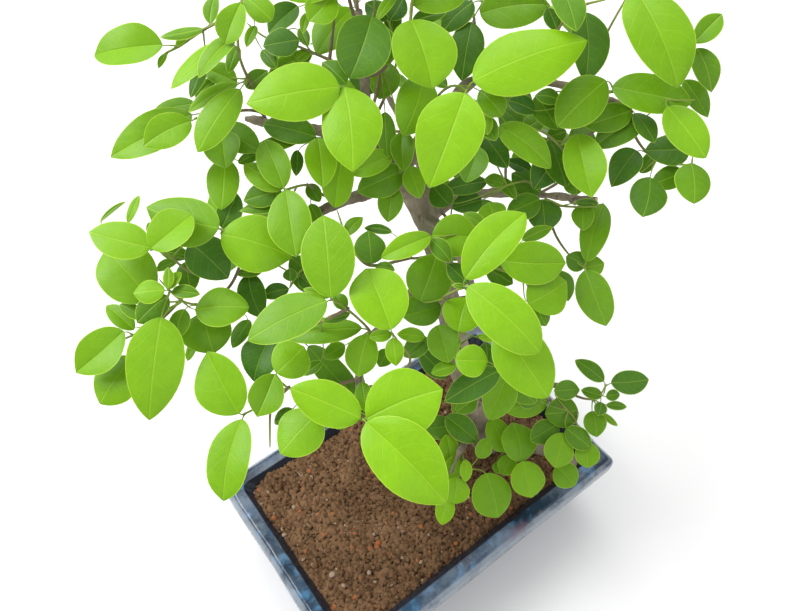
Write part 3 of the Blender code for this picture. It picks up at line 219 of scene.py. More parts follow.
# Shoots that show, front ones first. A stem point is x, y in the picture and millimetres from the eye
SHOOTS = {
    "shoot_centre_low": Shoot("near_left", [[(374, 412, 296), (362, 420, 282)]], [
        Leaf(366, 422, 446, 505, 74, -10, 0.95, 0.45), Leaf(366, 419, 443, 389, 73, -5, 0.95, 0.50),
        Leaf(361, 418, 290, 388, 46, -4, 0.90), Leaf(318, 413, 280, 454, 49, 6, 0.85),
        Leaf(350, 412, 336, 429, 17, 8, 0.80)]),
    "shoot_mid_right": Shoot("near_right", [[(425, 304, 306), (448, 294, 298), (465, 286, 288)]], [
        Leaf(465, 279, 526, 212, 49, -5, 0.90, 0.50), Leaf(468, 286, 540, 353, 54, -6, 0.90, 0.50),
        Leaf(465, 287, 452, 285, 7, 0, 0.40), Leaf(420, 301, 437, 254, 50, 4, 0.60),
        Leaf(500, 326, 548, 398, 58, 4, 0.90),
        Leaf(441, 306, 402, 316, 38, 12, 0.50), Leaf(468, 284, 447, 264, 23, 12, 0.15),
        Leaf(446, 378, 419, 350, 24, 20, 0.30)]),
    "shoot_upper_mid": Shoot("upper_right", [[(430, 112, 308), (447, 84, 298), (468, 92, 288)]], [
        Leaf(473, 81, 589, 38, 69, -5, 0.95, 0.40), Leaf(465, 93, 430, 186, 72, -8, 0.95, 0.42),
        Leaf(480, 90, 503, 115, 30, 6, 0.65, 0.60), Leaf(484, 112, 488, 135, 16, 9, 0.60),
        Leaf(480, 118, 496, 141, 22, 12, 0.45),
        Leaf(447, 87, 429, 73, 15, 4, 0.50)]),
    "shoot_mid_left": Shoot("upper_left", [[(372, 112, 316), (356, 98, 302), (341, 88, 285)]], [
        Leaf(340, 87, 246, 104, 63, -6, 0.90, 0.42), Leaf(344, 87, 353, 172, 64, -4, 0.90, 0.45),
        Leaf(346, 84, 322, 62, 26, 6, 0.25)]),
    "shoot_top_centre": Shoot("crown", [[(418, 52, 302), (411, 22, 288), (413, -6, 284), (417, -36, 280)]], [
        Leaf(410, 20, 433, 88, 71, -5, 0.90, 0.55), Leaf(413, 4, 466, -4, 36, 3, 0.70),
        Leaf(424, 76, 404, 135, 45, 10, 0.75), Leaf(412, -4, 374, -24, 32, 0, 0.70),
        Leaf(417, -34, 445, -72, 34, 0, 0.75), Leaf(416, -36, 386, -66, 34, 0, 0.75),
        Leaf(412, 22, 447, 12, 18, 8, 0.30)]),
    "shoot_centre": Shoot("near_left", [[(424, 378, 318), (410, 357, 308), (392, 333, 290)]], [
        Leaf(391, 330, 366, 267, 61, -6, 0.95, 0.52), Leaf(392, 334, 369, 337, 15, 3, 0.80),
        Leaf(394, 336, 396, 366, 20, 0, 0.85), Leaf(388, 349, 379, 367, 19, 5, 0.50)]),
    "shoot_centre_left": Shoot("near_left", [
        [(377, 348, 312), (370, 331, 303), (347, 309, 292), (331, 299, 285)],
        [(347, 309, 292), (320, 322, 300), (286, 330, 306)]], [
        Leaf(272, 336, 253, 381, 46, 4, 0.12),
        Leaf(331, 298, 323, 215, 56, -4, 0.70, 0.48), Leaf(327, 301, 246, 339, 46, -4, 0.65),
        Leaf(330, 297, 303, 289, 11, 4, 0.70), Leaf(346, 309, 334, 294, 17, 4, 0.60),
        Leaf(362, 328, 276, 333, 27, 3, 0.70), Leaf(350, 313, 322, 321, 11, 6, 0.30),
        Leaf(368, 334, 358, 377, 35, -6, 0.85, 0.52), Leaf(345, 345, 322, 357, 18, 12, 0.70),
        Leaf(308, 346, 362, 403, 30, 20, 0.50),
        Leaf(322, 362, 303, 375, 13, 14, 0.30), Leaf(362, 382, 367, 413, 19, 8, 0.60)]),
    "shoot_low_lights": Shoot("near_right", [[(440, 345, 322), (456, 340, 312), (462, 352, 306)]], [
        Leaf(458, 332, 468, 297, 43, -12, 0.90, 0.52), Leaf(455, 360, 488, 361, 34, -6, 0.90, 0.52),
        Leaf(425, 337, 397, 334, 16, -8, 0.85), Leaf(428, 338, 404, 357, 24, -2, 0.45),
        Leaf(438, 325, 449, 363, 36, -14, 0.70),
        Leaf(456, 366, 431, 373, 15, 0, 0.75), Leaf(500, 370, 444, 402, 31, 10, 0.25),
        Leaf(478, 335, 496, 341, 8, -2, 0.90), Leaf(486, 342, 488, 376, 20, 14, 0.15)]),
    "shoot_left_centre": Shoot("left", [[(322, 196, 326), (308, 185, 312), (284, 190, 296)]], [
        Leaf(286, 190, 296, 257, 49, -8, 0.60, 0.50), Leaf(284, 188, 263, 138, 35, 2, 0.60),
        Leaf(283, 189, 243, 163, 27, 6, 0.75), Leaf(282, 192, 243, 201, 27, 10, 0.40),
        Leaf(308, 184, 320, 202, 16, 6, 0.45),
        Leaf(284, 205, 239, 211, 16, 10, 0.50), Leaf(310, 204, 322, 225, 15, 8, 0.50)]),
    "shoot_mid_fork": Shoot("upper_left", [[(362, 142, 322), (345, 140, 314), (318, 138, 302)]], [
        Leaf(318, 138, 323, 188, 34, -2, 0.90), Leaf(344, 150, 335, 208, 35, -2, 0.90, 0.55),
        Leaf(316, 137, 262, 122, 34, 4, 0.25), Leaf(302, 138, 250, 151, 18, 6, 0.60),
        Leaf(297, 150, 296, 176, 14, 12, 0.25)]),
    "shoot_mid_high": Shoot("trunk", [[(424, 186, 334), (412, 176, 322), (399, 172, 314)]], [
        Leaf(392, 155, 350, 174, 28, -6, 0.85), Leaf(404, 170, 357, 191, 36, 2, 0.55),
        Leaf(392, 186, 388, 222, 28, 2, 0.55), Leaf(410, 166, 420, 198, 24, -6, 0.75)]),
    "shoot_left_mid": Shoot("left", [[(262, 258, 322), (240, 250, 314), (221, 233, 298)]], [
        Leaf(221, 234, 292, 257, 60, -4, 0.80, 0.50), Leaf(219, 228, 146, 207, 53, -6, 0.65, 0.42),
        Leaf(222, 228, 237, 193, 27, 10, 0.30),
        Leaf(248, 274, 262, 318, 32, 12, 0.15), Leaf(262, 272, 236, 274, 12, 6, 0.50),
        Leaf(326, 292, 290, 256, 36, 12, 0.35)]),
    "shoot_left_top": Shoot("upper_left", [
        [(285, 104, 312), (262, 98, 305), (243, 92, 298), (238, 50, 291), (241, 3, 286), (247, -30, 284)],
        [(241, 3, 286), (225, 18, 288), (203, 30, 290), (180, 46, 292), (164, 54, 293)]], [
        Leaf(240, 89, 197, 152, 37, -8, 0.80, 0.50), Leaf(163, 45, 92, 54, 50, -3, 0.75),
        Leaf(167, 53, 158, 68, 9, 0, 0.70), Leaf(176, 46, 187, 35, 8, -2, 0.80),
        Leaf(203, 29, 160, 37, 14, 0, 0.45), Leaf(210, 24, 216, -5, 17, 2, 0.50),
        Leaf(241, 3, 225, 43, 31, -6, 0.75, 0.65), Leaf(244, -3, 272, 20, 27, 0, 0.70, 0.60),
        Leaf(231, 43, 170, 88, 26, -4, 0.85), Leaf(234, 38, 197, 76, 26, -9, 0.60),
        Leaf(205, 66, 190, 97, 15, 8, 0.20), Leaf(238, 84, 187, 111, 19, -3, 0.70),
        Leaf(237, 83, 203, 68, 26, 5, 0.65), Leaf(246, 88, 268, 70, 21, 3, 0.40),
        Leaf(247, -30, 222, -62, 34, 0, 0.70), Leaf(248, -31, 286, -58, 34, 0, 0.70),
        Leaf(238, 46, 228, 73, 15, 4, 0.40), Leaf(256, 26, 246, 47, 13, 3, 0.50),
        Leaf(215, 80, 195, 97, 15, 6, 0.50)]),
    "shoot_left_low": Shoot("left", [[(245, 300, 322), (218, 306, 314), (194, 311, 300), (181, 303, 297),
                                      (170, 291, 294), (160, 280, 291)]], [
        Leaf(161, 317, 148, 421, 59, -6, 0.85, 0.42), Leaf(195, 310, 249, 307, 41, -5, 0.65),
        Leaf(165, 290, 133, 293, 25, -6, 0.80, 0.52), Leaf(168, 288, 168, 267, 12, -6, 0.70),
        Leaf(167, 289, 181, 272, 15, -6, 0.80), Leaf(172, 291, 200, 294, 16, -2, 0.35),
        Leaf(168, 296, 137, 323, 30, 4, 0.30), Leaf(184, 309, 176, 339, 21, 6, 0.55),
        Leaf(203, 312, 214, 353, 51, 6, 0.60), Leaf(150, 300, 104, 248, 62, 10, 0.75, 0.50),
        Leaf(196, 341, 187, 361, 11, 8, 0.65), Leaf(134, 330, 106, 305, 20, 14, 0.70),
        Leaf(250, 320, 232, 348, 18, 12, 0.50), Leaf(142, 318, 119, 304, 15, 8, 0.50)]),
    "shoot_left_out": Shoot("left", [[(222, 280, 318), (203, 284, 312), (186, 270, 305), (172, 258, 300),
                                      (152, 248, 293)],
                                     [(152, 248, 293), (130, 236, 297), (106, 224, 299)]], [
        Leaf(151, 249, 193, 215, 46, -8, 0.80, 0.52), Leaf(151, 248, 88, 231, 40, -3, 0.85),
        Leaf(100, 222, 126, 201, 6, 4, 0.40), Leaf(128, 223, 139, 195, 12, 3, 0.70),
        Leaf(157, 240, 148, 222, 13, 8, 0.20), Leaf(190, 243, 228, 278, 46, 10, 0.20),
        Leaf(187, 261, 192, 292, 25, 12, 0.30),
        Leaf(189, 256, 158, 249, 17, 8, 0.30), Leaf(177, 262, 156, 271, 13, 4, 0.50)]),
    "shoot_left_high": Shoot("upper_left", [
        [(262, 112, 318), (243, 106, 312), (226, 118, 306), (195, 118, 300)],
        [(226, 118, 306), (222, 131, 303)]], [
        Leaf(191, 121, 143, 147, 39, -3, 0.75), Leaf(192, 114, 110, 157, 45, 6, 0.80),
        Leaf(196, 104, 150, 116, 22, 12, 0.60), Leaf(222, 133, 226, 168, 42, 0, 0.50),
        Leaf(223, 127, 259, 150, 31, 2, 0.45), Leaf(225, 158, 221, 210, 34, 8, 0.80),
        Leaf(238, 163, 263, 151, 13, 6, 0.40)]),
    "shoot_top_left": Shoot("crown", [
        [(352, 66, 312), (330, 60, 310), (308, 53, 306), (299, 42, 304), (262, 42, 302), (248, 24, 300)],
        [(330, 60, 310), (334, 20, 302), (336, -14, 296)]], [
        Leaf(299, 40, 263, 46, 35, -2, 0.25), Leaf(298, 6, 268, 32, 30, 6, 0.25),
        Leaf(312, 54, 268, 74, 22, 6, 0.55), Leaf(297, 60, 311, 50, 14, 2, 0.80),
        Leaf(309, 12, 303, 34, 11, 0, 0.80), Leaf(334, -6, 309, 21, 35, -4, 0.80, 0.60),
        Leaf(345, -22, 281, -5, 36, -6, 0.85),
        Leaf(338, -16, 372, -44, 36, 0, 0.75),
        Leaf(262, 50, 277, 69, 16, 4, 0.30), Leaf(300, 28, 308, 46, 13, 2, 0.50)]),
    "shoot_top_mid": Shoot("crown", [[(384, 84, 316), (380, 56, 308), (374, 14, 298), (378, -22, 292)]], [
        Leaf(372, 16, 350, 77, 60, -8, 0.35, 0.52), Leaf(384, 27, 388, 66, 20, 4, 0.55),
        Leaf(353, 8, 316, 55, 44, 6, 0.75, 0.52), Leaf(389, 62, 379, 99, 34, 8, 0.60),
        Leaf(396, -6, 376, 20, 13, 0, 0.70), Leaf(385, 112, 388, 158, 21, 10, 0.45),
        Leaf(378, -22, 350, -60, 36, 0, 0.75), Leaf(379, -23, 410, -60, 34, 2, 0.75),
        Leaf(392, 35, 396, 4, 19, 8, 0.30), Leaf(375, 92, 349, 75, 23, 8, 0.30),
        Leaf(402, 132, 404, 171, 27, 12, 0.50)]),
    "shoot_centre_high": Shoot("near_right", [
        [(398, 262, 318), (410, 252, 306), (430, 238, 298)],
        [(398, 262, 318), (372, 266, 308), (356, 262, 306), (346, 236, 308), (337, 210, 310)]], [
        Leaf(431, 236, 381, 258, 27, -4, 0.85), Leaf(432, 235, 482, 240, 49, 4, 0.80, 0.42),
        Leaf(431, 239, 451, 262, 20, -2, 0.35), Leaf(371, 264, 368, 230, 33, -2, 0.40),
        Leaf(374, 265, 395, 270, 13, 0, 0.40), Leaf(392, 232, 364, 228, 11, 8, 0.20),
        Leaf(345, 236, 363, 217, 16, 2, 0.50),
        Leaf(486, 227, 463, 213, 15, 8, 0.60)]),
    "shoot_lower_left": Shoot("near_left", [
        [(318, 396, 320), (303, 393, 314), (286, 391, 306), (276, 376, 298)],
        [(286, 391, 306), (262, 405, 302), (244, 414, 296)],
        [(286, 391, 306), (273, 404, 312), (270, 416, 316), (270, 447, 322)]], [
        Leaf(239, 414, 206, 351, 57, -5, 0.75, 0.42), Leaf(242, 419, 222, 501, 48, -5, 0.75, 0.50),
        Leaf(275, 374, 257, 417, 39, -4, 0.65, 0.55), Leaf(276, 373, 304, 346, 43, -5, 0.80, 0.52),
        Leaf(293, 409, 274, 424, 17, 6, 0.30)]),
    "shoot_left_edge": Shoot("left", [[(175, 318, 318), (150, 330, 310), (133, 335, 302), (118, 342, 298)]], [
        Leaf(124, 331, 76, 373, 47, -2, 0.75), Leaf(133, 358, 99, 404, 50, 6, 0.70)]),
    "shoot_right_centre": Shoot("right", [
        [(486, 262, 322), (500, 262, 312), (529, 300, 308), (546, 284, 308), (553, 268, 312)]], [
        Leaf(500, 260, 566, 263, 47, -2, 0.80, 0.50), Leaf(528, 304, 568, 281, 46, -4, 0.80, 0.45),
        Leaf(553, 271, 569, 301, 28, 10, 0.35), Leaf(487, 268, 513, 284, 23, 10, 0.25),
        Leaf(497, 224, 488, 202, 31, 4, 0.70, 0.52),
        Leaf(534, 300, 546, 326, 26, 10, 0.50), Leaf(522, 240, 553, 227, 15, 8, 0.50)]),
    "shoot_top_right": Shoot("upper_right", [
        [(530, 70, 314), (552, 40, 306), (560, 4, 298), (583, 5, 296), (621, 5, 293), (626, -12, 290)],
        [(560, 4, 298), (545, -24, 292)],
        [(545, -24, 292), (512, -12, 302), (482, 2, 310)]], [
        Leaf(480, 14, 551, 4, 54, -2, 0.65), Leaf(472, 22, 462, 80, 36, 4, 0.15),
        Leaf(473, 2, 442, 32, 28, 4, 0.15), Leaf(556, -22, 577, 31, 37, -2, 0.45),
        Leaf(585, 12, 587, 81, 45, 10, 0.35), Leaf(636, -8, 681, 85, 75, -4, 0.75),
        Leaf(694, 43, 722, 14, 26, 0, 0.55), Leaf(697, 48, 712, 92, 28, 3, 0.40),
        Leaf(545, -24, 512, -52, 38, 0, 0.70), Leaf(546, -26, 580, -58, 38, 0, 0.70),
        Leaf(626, -14, 604, -52, 36, 0, 0.70),
        Leaf(548, 8, 557, 31, 19, 8, 0.20)]),
    "shoot_right_high": Shoot("upper_right", [
        [(590, 96, 318), (607, 84, 306), (640, 92, 304), (668, 104, 300), (694, 100, 298)]], [
        Leaf(612, 87, 692, 103, 46, -3, 0.55), Leaf(667, 107, 706, 158, 40, -6, 0.80),
        Leaf(606, 80, 557, 127, 48, -5, 0.55), Leaf(632, 110, 584, 126, 30, 8, 0.50),
        Leaf(560, 100, 535, 95, 18, 10, 0.30), Leaf(535, 112, 508, 100, 24, 14, 0.10),
        Leaf(642, 119, 594, 147, 35, 10, 0.45), Leaf(537, 94, 559, 129, 29, 26, 0.35),
        Leaf(635, 113, 655, 143, 25, 10, 0.30), Leaf(684, 80, 709, 117, 26, 10, 0.40)]),
    "shoot_right_out": Shoot("right", [
        [(572, 196, 334), (577, 194, 326), (573, 168, 318), (572, 140, 312), (542, 124, 306),
         (500, 126, 302)]], [
        Leaf(577, 134, 592, 198, 46, -5, 0.75, 0.50), Leaf(499, 126, 553, 166, 38, -4, 0.75),
        Leaf(577, 195, 571, 173, 26, -4, 0.35), Leaf(550, 140, 567, 187, 36, 12, 0.20),
        Leaf(560, 150, 534, 189, 34, 14, 0.15), Leaf(477, 146, 466, 182, 34, 8, 0.50)]),
    "shoot_branch_end": Shoot(
        "right", [[(541, 201, 344), (562, 206, 340), (584, 207, 336), (600, 206, 334)]], [
        Leaf(575, 203, 599, 203, 10, 0, 0.20), Leaf(584, 204, 583, 231, 24, 0, 0.60),
        Leaf(542, 199, 545, 232, 36, 6, 0.25), Leaf(540, 199, 507, 213, 28, 6, 0.35)]),
    "shoot_branch_top": Shoot("right", [[(530, 190, 346), (530, 180, 338), (505, 186, 334)]], [
        Leaf(540, 193, 512, 172, 32, -4, 0.30), Leaf(505, 188, 484, 179, 17, 0, 0.50),
        Leaf(450, 205, 432, 184, 26, 4, 0.20), Leaf(482, 200, 452, 208, 28, 8, 0.12),
        Leaf(487, 181, 443, 190, 23, 4, 0.15), Leaf(482, 133, 508, 167, 28, 8, 0.10),
        Leaf(532, 172, 505, 160, 17, 6, 0.10), Leaf(500, 178, 516, 199, 15, 4, 0.35)]),
    "shoot_right_edge": Shoot("upper_right", [
        [(634, 152, 330), (642, 174, 322), (680, 172, 316), (694, 164, 314)]], [
        Leaf(650, 177, 643, 217, 38, -3, 0.30), Leaf(691, 163, 694, 204, 38, -3, 0.55),
        Leaf(690, 150, 645, 150, 36, 4, 0.20), Leaf(636, 150, 612, 186, 34, 4, 0.15),
        Leaf(684, 172, 651, 185, 25, 4, 0.40), Leaf(640, 173, 655, 151, 16, 12, 0.30)]),
    "shoot_right_low": Shoot("right", [[(556, 236, 350), (572, 258, 342), (585, 268, 334)]], [
        Leaf(586, 262, 605, 201, 31, -4, 0.60, 0.50), Leaf(585, 270, 607, 325, 38, -4, 0.65, 0.50),
        Leaf(586, 266, 566, 256, 23, 2, 0.40), Leaf(585, 268, 605, 263, 22, 6, 0.65)]),
    "sprig_right": Shoot(
        "low_right", [[(590, 428, 402), (598, 414, 396), (603, 398, 391), (606, 385, 388)]], [
        Leaf(604, 381, 575, 360, 18, -2, 0.25), Leaf(611, 383, 650, 379, 25, -2, 0.30),
        Leaf(602, 396, 581, 390, 14, 0, 0.30), Leaf(606, 397, 620, 394, 13, 0, 0.35),
        Leaf(606, 405, 627, 407, 10, 2, 0.40), Leaf(601, 402, 598, 416, 15, 0, 0.25),
        Leaf(592, 411, 597, 437, 25, 0, 0.45), Leaf(603, 413, 618, 426, 7, 2, 0.60)]),
    "low_shoot_right": Shoot(
        "low_right", [[(552, 402, 400), (568, 411, 398), (578, 420, 398), (580, 436, 400)]], [
        Leaf(554, 391, 580, 390, 22, -2, 0.45), Leaf(578, 410, 545, 414, 33, 0, 0.35),
        Leaf(566, 428, 592, 449, 23, -4, 0.35), Leaf(564, 433, 555, 468, 33, -6, 0.80, 0.52),
        Leaf(585, 441, 588, 468, 26, -2, 0.75, 0.52), Leaf(540, 402, 518, 388, 28, 0, 0.40),
        Leaf(548, 400, 506, 412, 28, 4, 0.65), Leaf(558, 424, 530, 441, 25, 4, 0.30),
        Leaf(556, 466, 575, 486, 29, 2, 0.60)]),
    "low_shoot_near": Shoot("trunk", [[(508, 450, 422), (518, 458, 412), (522, 462, 408)]], [
        Leaf(523, 461, 532, 498, 37, -4, 0.85, 0.52), Leaf(521, 462, 513, 422, 38, -4, 0.70, 0.52),
        Leaf(505, 452, 491, 416, 27, 2, 0.80), Leaf(496, 462, 500, 474, 12, 2, 0.70),
        Leaf(512, 456, 502, 475, 21, 2, 0.80)]),
    "low_shoot_left": Shoot("low_left", [[(462, 452, 420), (462, 462, 412), (470, 470, 408)]], [
        Leaf(486, 473, 498, 518, 42, -4, 0.60, 0.52), Leaf(457, 477, 454, 504, 28, -2, 0.85, 0.52),
        Leaf(447, 496, 441, 525, 21, -2, 0.90), Leaf(466, 460, 466, 482, 14, -8, 0.95),
        Leaf(458, 456, 446, 480, 23, -4, 0.80), Leaf(452, 468, 446, 434, 24, 2, 0.75),
        Leaf(478, 458, 488, 438, 18, 0, 0.65),
        Leaf(446, 416, 478, 442, 28, -8, 0.20), Leaf(424, 428, 454, 424, 28, 8, 0.30),
        Leaf(453, 400, 473, 418, 23, -2, 0.55), Leaf(456, 440, 452, 474, 20, 0, 0.80)]),
    "low_shoot_mid": Shoot("trunk", [[(490, 398, 392), (502, 386, 382), (508, 379, 378)]], [
        Leaf(507, 376, 489, 420, 38, -4, 0.70), Leaf(476, 398, 456, 412, 20, 4, 0.50),
        Leaf(512, 378, 536, 404, 26, 4, 0.45)]),
    "shoot_inner_right": Shoot("upper_right", [[(566, 150, 342), (546, 139, 336), (522, 129, 331)]], [
        Leaf(521, 127, 498, 106, 24, 2, 0.30), Leaf(525, 129, 543, 116, 21, 3, 0.45),
        Leaf(547, 138, 567, 131, 19, 3, 0.30), Leaf(548, 143, 556, 178, 24, 8, 0.20),
        Leaf(520, 133, 497, 150, 26, 6, 0.15)]),
    "shoot_inner_left": Shoot("left", [[(310, 262, 334), (298, 274, 330), (290, 286, 326)]], [
        Leaf(289, 289, 262, 296, 18, 4, 0.20), Leaf(292, 285, 290, 268, 15, 3, 0.30),
        Leaf(300, 276, 316, 290, 20, 5, 0.25)]),
    "shoot_inner_crown": Shoot("crown", [[(398, 66, 322), (394, 40, 316), (388, 20, 311)]], [
        Leaf(390, 20, 404, -4, 22, 3, 0.10), Leaf(387, 20, 365, 2, 22, 3, 0.12),
        Leaf(396, 46, 416, 62, 22, 5, 0.10)]),
}

# Shoots that no picture shows: the limb, the place along it from 0 to 1, the heading, the length and the
# number of leaf pairs
HIDDEN_SHOOTS = {
    "back_shoot_low": ("back", 0.55, (0.55, 0.70, 0.05), 0.070, 5),
    "back_shoot_high": ("back", 0.98, (0.10, 0.75, 0.50), 0.062, 5),
    "back_shoot_left": ("back", 0.80, (-0.65, 0.65, 0.15), 0.070, 5),
    "back_shoot_right": ("back", 0.62, (0.85, 0.50, -0.10), 0.060, 4),
    "back_shoot_under": ("trunk", 0.52, (0.50, 0.80, 0.05), 0.062, 4),
    "crown_shoot_back": ("crown", 0.90, (0.25, 0.85, 0.30), 0.060, 5),
    "crown_shoot_top": ("crown", 0.98, (0.10, 0.30, 0.90), 0.040, 4),
    "upper_right_shoot_back": ("upper_right", 0.50, (0.45, 0.80, 0.20), 0.070, 5),
    "upper_right_shoot_far": ("upper_right", 0.80, (0.85, 0.45, 0.10), 0.058, 4),
    "left_shoot_under": ("left", 0.50, (-0.40, 0.40, -0.45), 0.052, 4),
    "right_shoot_back": ("right", 0.60, (0.70, 0.65, 0.05), 0.064, 5),
    "right_shoot_under": ("right", 0.75, (0.80, 0.10, -0.35), 0.056, 4),
    "low_shoot_side": ("low_right", 0.60, (0.75, 0.55, 0.10), 0.044, 4),
}

print("shoots:", len(SHOOTS) + len(HIDDEN_SHOOTS), "leaves drawn by eye:", sum(len(s.leaves) for s in SHOOTS.values()))

# %% [markdown]
# ## From the view to space
# A point of the view and a distance give a point in space, and back. Twigs follow smooth curves through
# their points.

# %% Sight lines and smooth paths
def unit(vector):
    return vector / np.linalg.norm(vector)


def unit_rows(rows):
    return rows / np.linalg.norm(rows, axis=1, keepdims=True)


def sight(x, y, distance):
    """The point that shows at x, y in the picture, at a distance in metres along the view axis."""
    across, height = (x - CENTRE_X) / FOCAL, (CENTRE_Y - y) / FOCAL
    return EYE + distance * (FORWARD + across * RIGHT + height * UP)


def picture(points):
    """Where points show in the picture, and their distance along the view axis."""
    rays = np.atleast_2d(points) - EYE
    distance = rays @ FORWARD
    x = CENTRE_X + FOCAL * (rays @ RIGHT) / distance
    y = CENTRE_Y - FOCAL * (rays @ UP) / distance
    return x, y, distance


def smooth_path(points, steps):
    """A Catmull-Rom curve through the points, with a number of steps in each span."""
    points = np.asarray(points, float)
    padded = np.vstack([2 * points[0] - points[1], points, 2 * points[-1] - points[-2]])
    curve = []
    for a, b, c, d in zip(padded, padded[1:], padded[2:], padded[3:]):
        for t in np.arange(steps) / steps:
            bend = 2 * a - 5 * b + 4 * c - d + t * (3 * b - a - 3 * c + d)
            curve.append(b + 0.5 * t * (c - a + t * bend))
    return np.array(curve + [points[-1]])


def tube(path, radii, sides, first_turn=0.0):
    """A closed tube along a path: rings square to it, turned as little as possible, and flat ends."""
    along = unit_rows(np.gradient(path, axis=0))
    side = unit(np.cross(along[0], (0.3, 0.2, 0.9) if abs(along[0][2]) < 0.8 else (1.0, 0.0, 0.0)))
    verts = []
    for point, way, radius in zip(path, along, radii):
        side = unit(side - way * (side @ way))
        other = np.cross(way, side)
        for k in range(sides):
            angle = first_turn + 2 * math.pi * k / sides
            verts.append(point + radius * (math.cos(angle) * side + math.sin(angle) * other))
    faces = [tuple(range(sides))[::-1], tuple(range(len(verts) - sides, len(verts)))]
    for ring in range(len(path) - 1):
        for k in range(sides):
            a, b = ring * sides + k, ring * sides + (k + 1) % sides
            faces.append((a, b, b + sides, a + sides))
    return np.array(verts), faces


print("the view's centre meets the pot's middle height at", sight(CENTRE_X, CENTRE_Y, 0.54).round(3))

# %% [markdown]
# ## Plain solids that stand in while leaves are placed
# The frame's solids were placed one after another, each where it crosses nothing that stood already. The
# same tests with the same plain blades and the same draws find the same places, so every fine leaf lies
# in its solid.

# %% Plain blades and the crossing tests
def half_width(along, peak):
    """The blade's outline: 0 at foot and tip, 1 where it is widest, blunt near the foot."""
    a, b = 0.62, 0.62 * (1 - peak) / peak
    scale = peak**a * (1 - peak)**b
    return along**a * (1 - along)**b / scale


def stalk_rings(blade, side, radius):
    """The stalk: a ring or a point in the twig, and a ring at the blade's foot unless it is short."""
    run = blade.foot - blade.joint
    along, onward = unit(run), unit(blade.tip - blade.foot)
    pointed = blade.width < BROAD_BLADE
    verts = [blade.joint] if pointed else []
    rings = [] if pointed else [(blade.joint, along)]
    if pointed or np.linalg.norm(run) > 0.007 or along @ onward < 0.6:
        rings.append((blade.foot, unit(along + onward)))
    for centre, way in rings:
        across = unit(side - way * (way @ side))
        above = np.cross(way, across)
        centre = centre + 0.4 * radius * above
        verts += [centre - radius * across, centre - 1.5 * radius * above, centre + radius * across]
    return verts


def blade_solid(blade, stations, fatten=0.0):
    """One leaf: a stalk from the twig, then a thin blade with a keel under its rib, in one closed solid."""
    axis = blade.tip - blade.foot
    side = unit(np.cross(blade.normal, axis))
    verts = stalk_rings(blade, side, STALK_RADIUS + 0.5 * fatten)
    for t in stations:
        centre = blade.foot + t * axis + 4 * t * (1 - t) * blade.arch * blade.normal
        reach = 0.5 * blade.width * half_width(t, blade.peak) + fatten
        above = fatten * blade.normal
        keel = (BLADE_THICKNESS + fatten) * blade.normal
        verts += [centre - reach * side + above, centre - keel, centre + reach * side + above]
    verts.append(blade.tip + fatten * unit(axis))
    last = len(verts) - 1
    first = last % 3
    faces = [(0, 2, 1), (0, 3, 2), (0, 1, 3)] if first else [(0, 2, 1)]
    for ring in range(first, last - 3, 3):
        a, b, c = ring, ring + 1, ring + 2
        # each strip is split from the keel to the margin, so the two sides never cross
        faces += [(a, b, a + 3), (b, b + 3, a + 3), (b, c, c + 3), (b, c + 3, b + 3)]
        faces += [(c, a, c + 3), (a, a + 3, c + 3)]
    faces += [(last - 3, last - 2, last), (last - 2, last - 1, last), (last - 1, last - 3, last)]
    return np.array(verts), faces


def triangles(faces):
    return [(face[0], face[k], face[k + 1]) for face in faces for k in range(1, len(face) - 1)]


def tree_of(solid):
    verts, faces = solid
    return BVHTree.FromPolygons([tuple(v) for v in verts], triangles(faces), epsilon=0.0)


def crosses_itself(solid):
    """True where two triangles of the solid that share no corner meet."""
    verts, faces = solid
    tree = tree_of(solid)
    corners = [set(corner) for corner in triangles(faces)]
    return any(a < b and not corners[a] & corners[b] for a, b in tree.overlap(tree))


def crosses(tree, others):
    return any(tree.overlap(other) for other in others)


print("crossing tests are ready")

# %% [markdown]
# ## Twigs that start at a limb
# A twig starts just clear of the bark, with a short knee straight out, and then follows its drawn points.
# Sharp bends are eased, and points that would lie in a limb move out of it.

# %% Limbs and twigs
def limb_path(name, steps=2):
    """A limb's centre line and its radius at each point."""
    points, start, end = LIMBS[name]
    path = smooth_path(points, steps)
    share = np.linspace(0, 1, len(path))
    return path, start + (end - start) * share**0.8


def off_limb(name, points):
    """Where a shoot may start beside its limb, the places with least bend first: its foot just clear of
    the bark, and a knee straight out from there."""
    path, radii = limb_path(name, 6)
    reach = points[0] - path
    distance = np.linalg.norm(reach, axis=1)
    bend = 1 - reach @ unit(points[1] - points[0]) / distance
    starts = []
    for pick in np.argsort(distance + 0.012 * bend)[:14]:
        way = unit(path[pick] - path[pick - 1]) if pick else unit(path[1] - path[0])
        out = unit(reach[pick] - way * (reach[pick] @ way))
        knee = 0.003 if distance[pick] - radii[pick] > 0.009 else 0.0015
        starts.append((path[pick] + out * (radii[pick] + GAP), path[pick] + out * (radii[pick] + knee)))
    return starts


def clear_of_limbs(path, first):
    """The path with its points moved out of the limbs they would cross."""
    path = path.copy()
    for name in LIMBS:
        centres, radii = limb_path(name, 6)
        for k in range(first, len(path)):
            away = path[k] - centres
            distance = np.linalg.norm(away, axis=1)
            near = np.argmin(distance - radii)
            need = radii[near] + 2.2 * TWIG_RADIUS
            if distance[near] < need:
                path[k] = path[k] + away[near] / distance[near] * (need - distance[near])
    return path


def relaxed(path, first, most=math.radians(32)):
    """The path with its sharp bends eased and both its ends kept."""
    path = path.copy()
    for _ in range(80):
        ways = unit_rows(np.diff(path, axis=0))
        bends = np.arccos(np.clip(np.sum(ways[1:] * ways[:-1], axis=1), -1, 1))
        sharp = [k + 1 for k in range(len(bends)) if bends[k] > most and k + 1 > first]
        if not sharp:
            break
        for k in sharp:
            path[k] = 0.5 * path[k] + 0.25 * (path[k - 1] + path[k + 1])
    return path


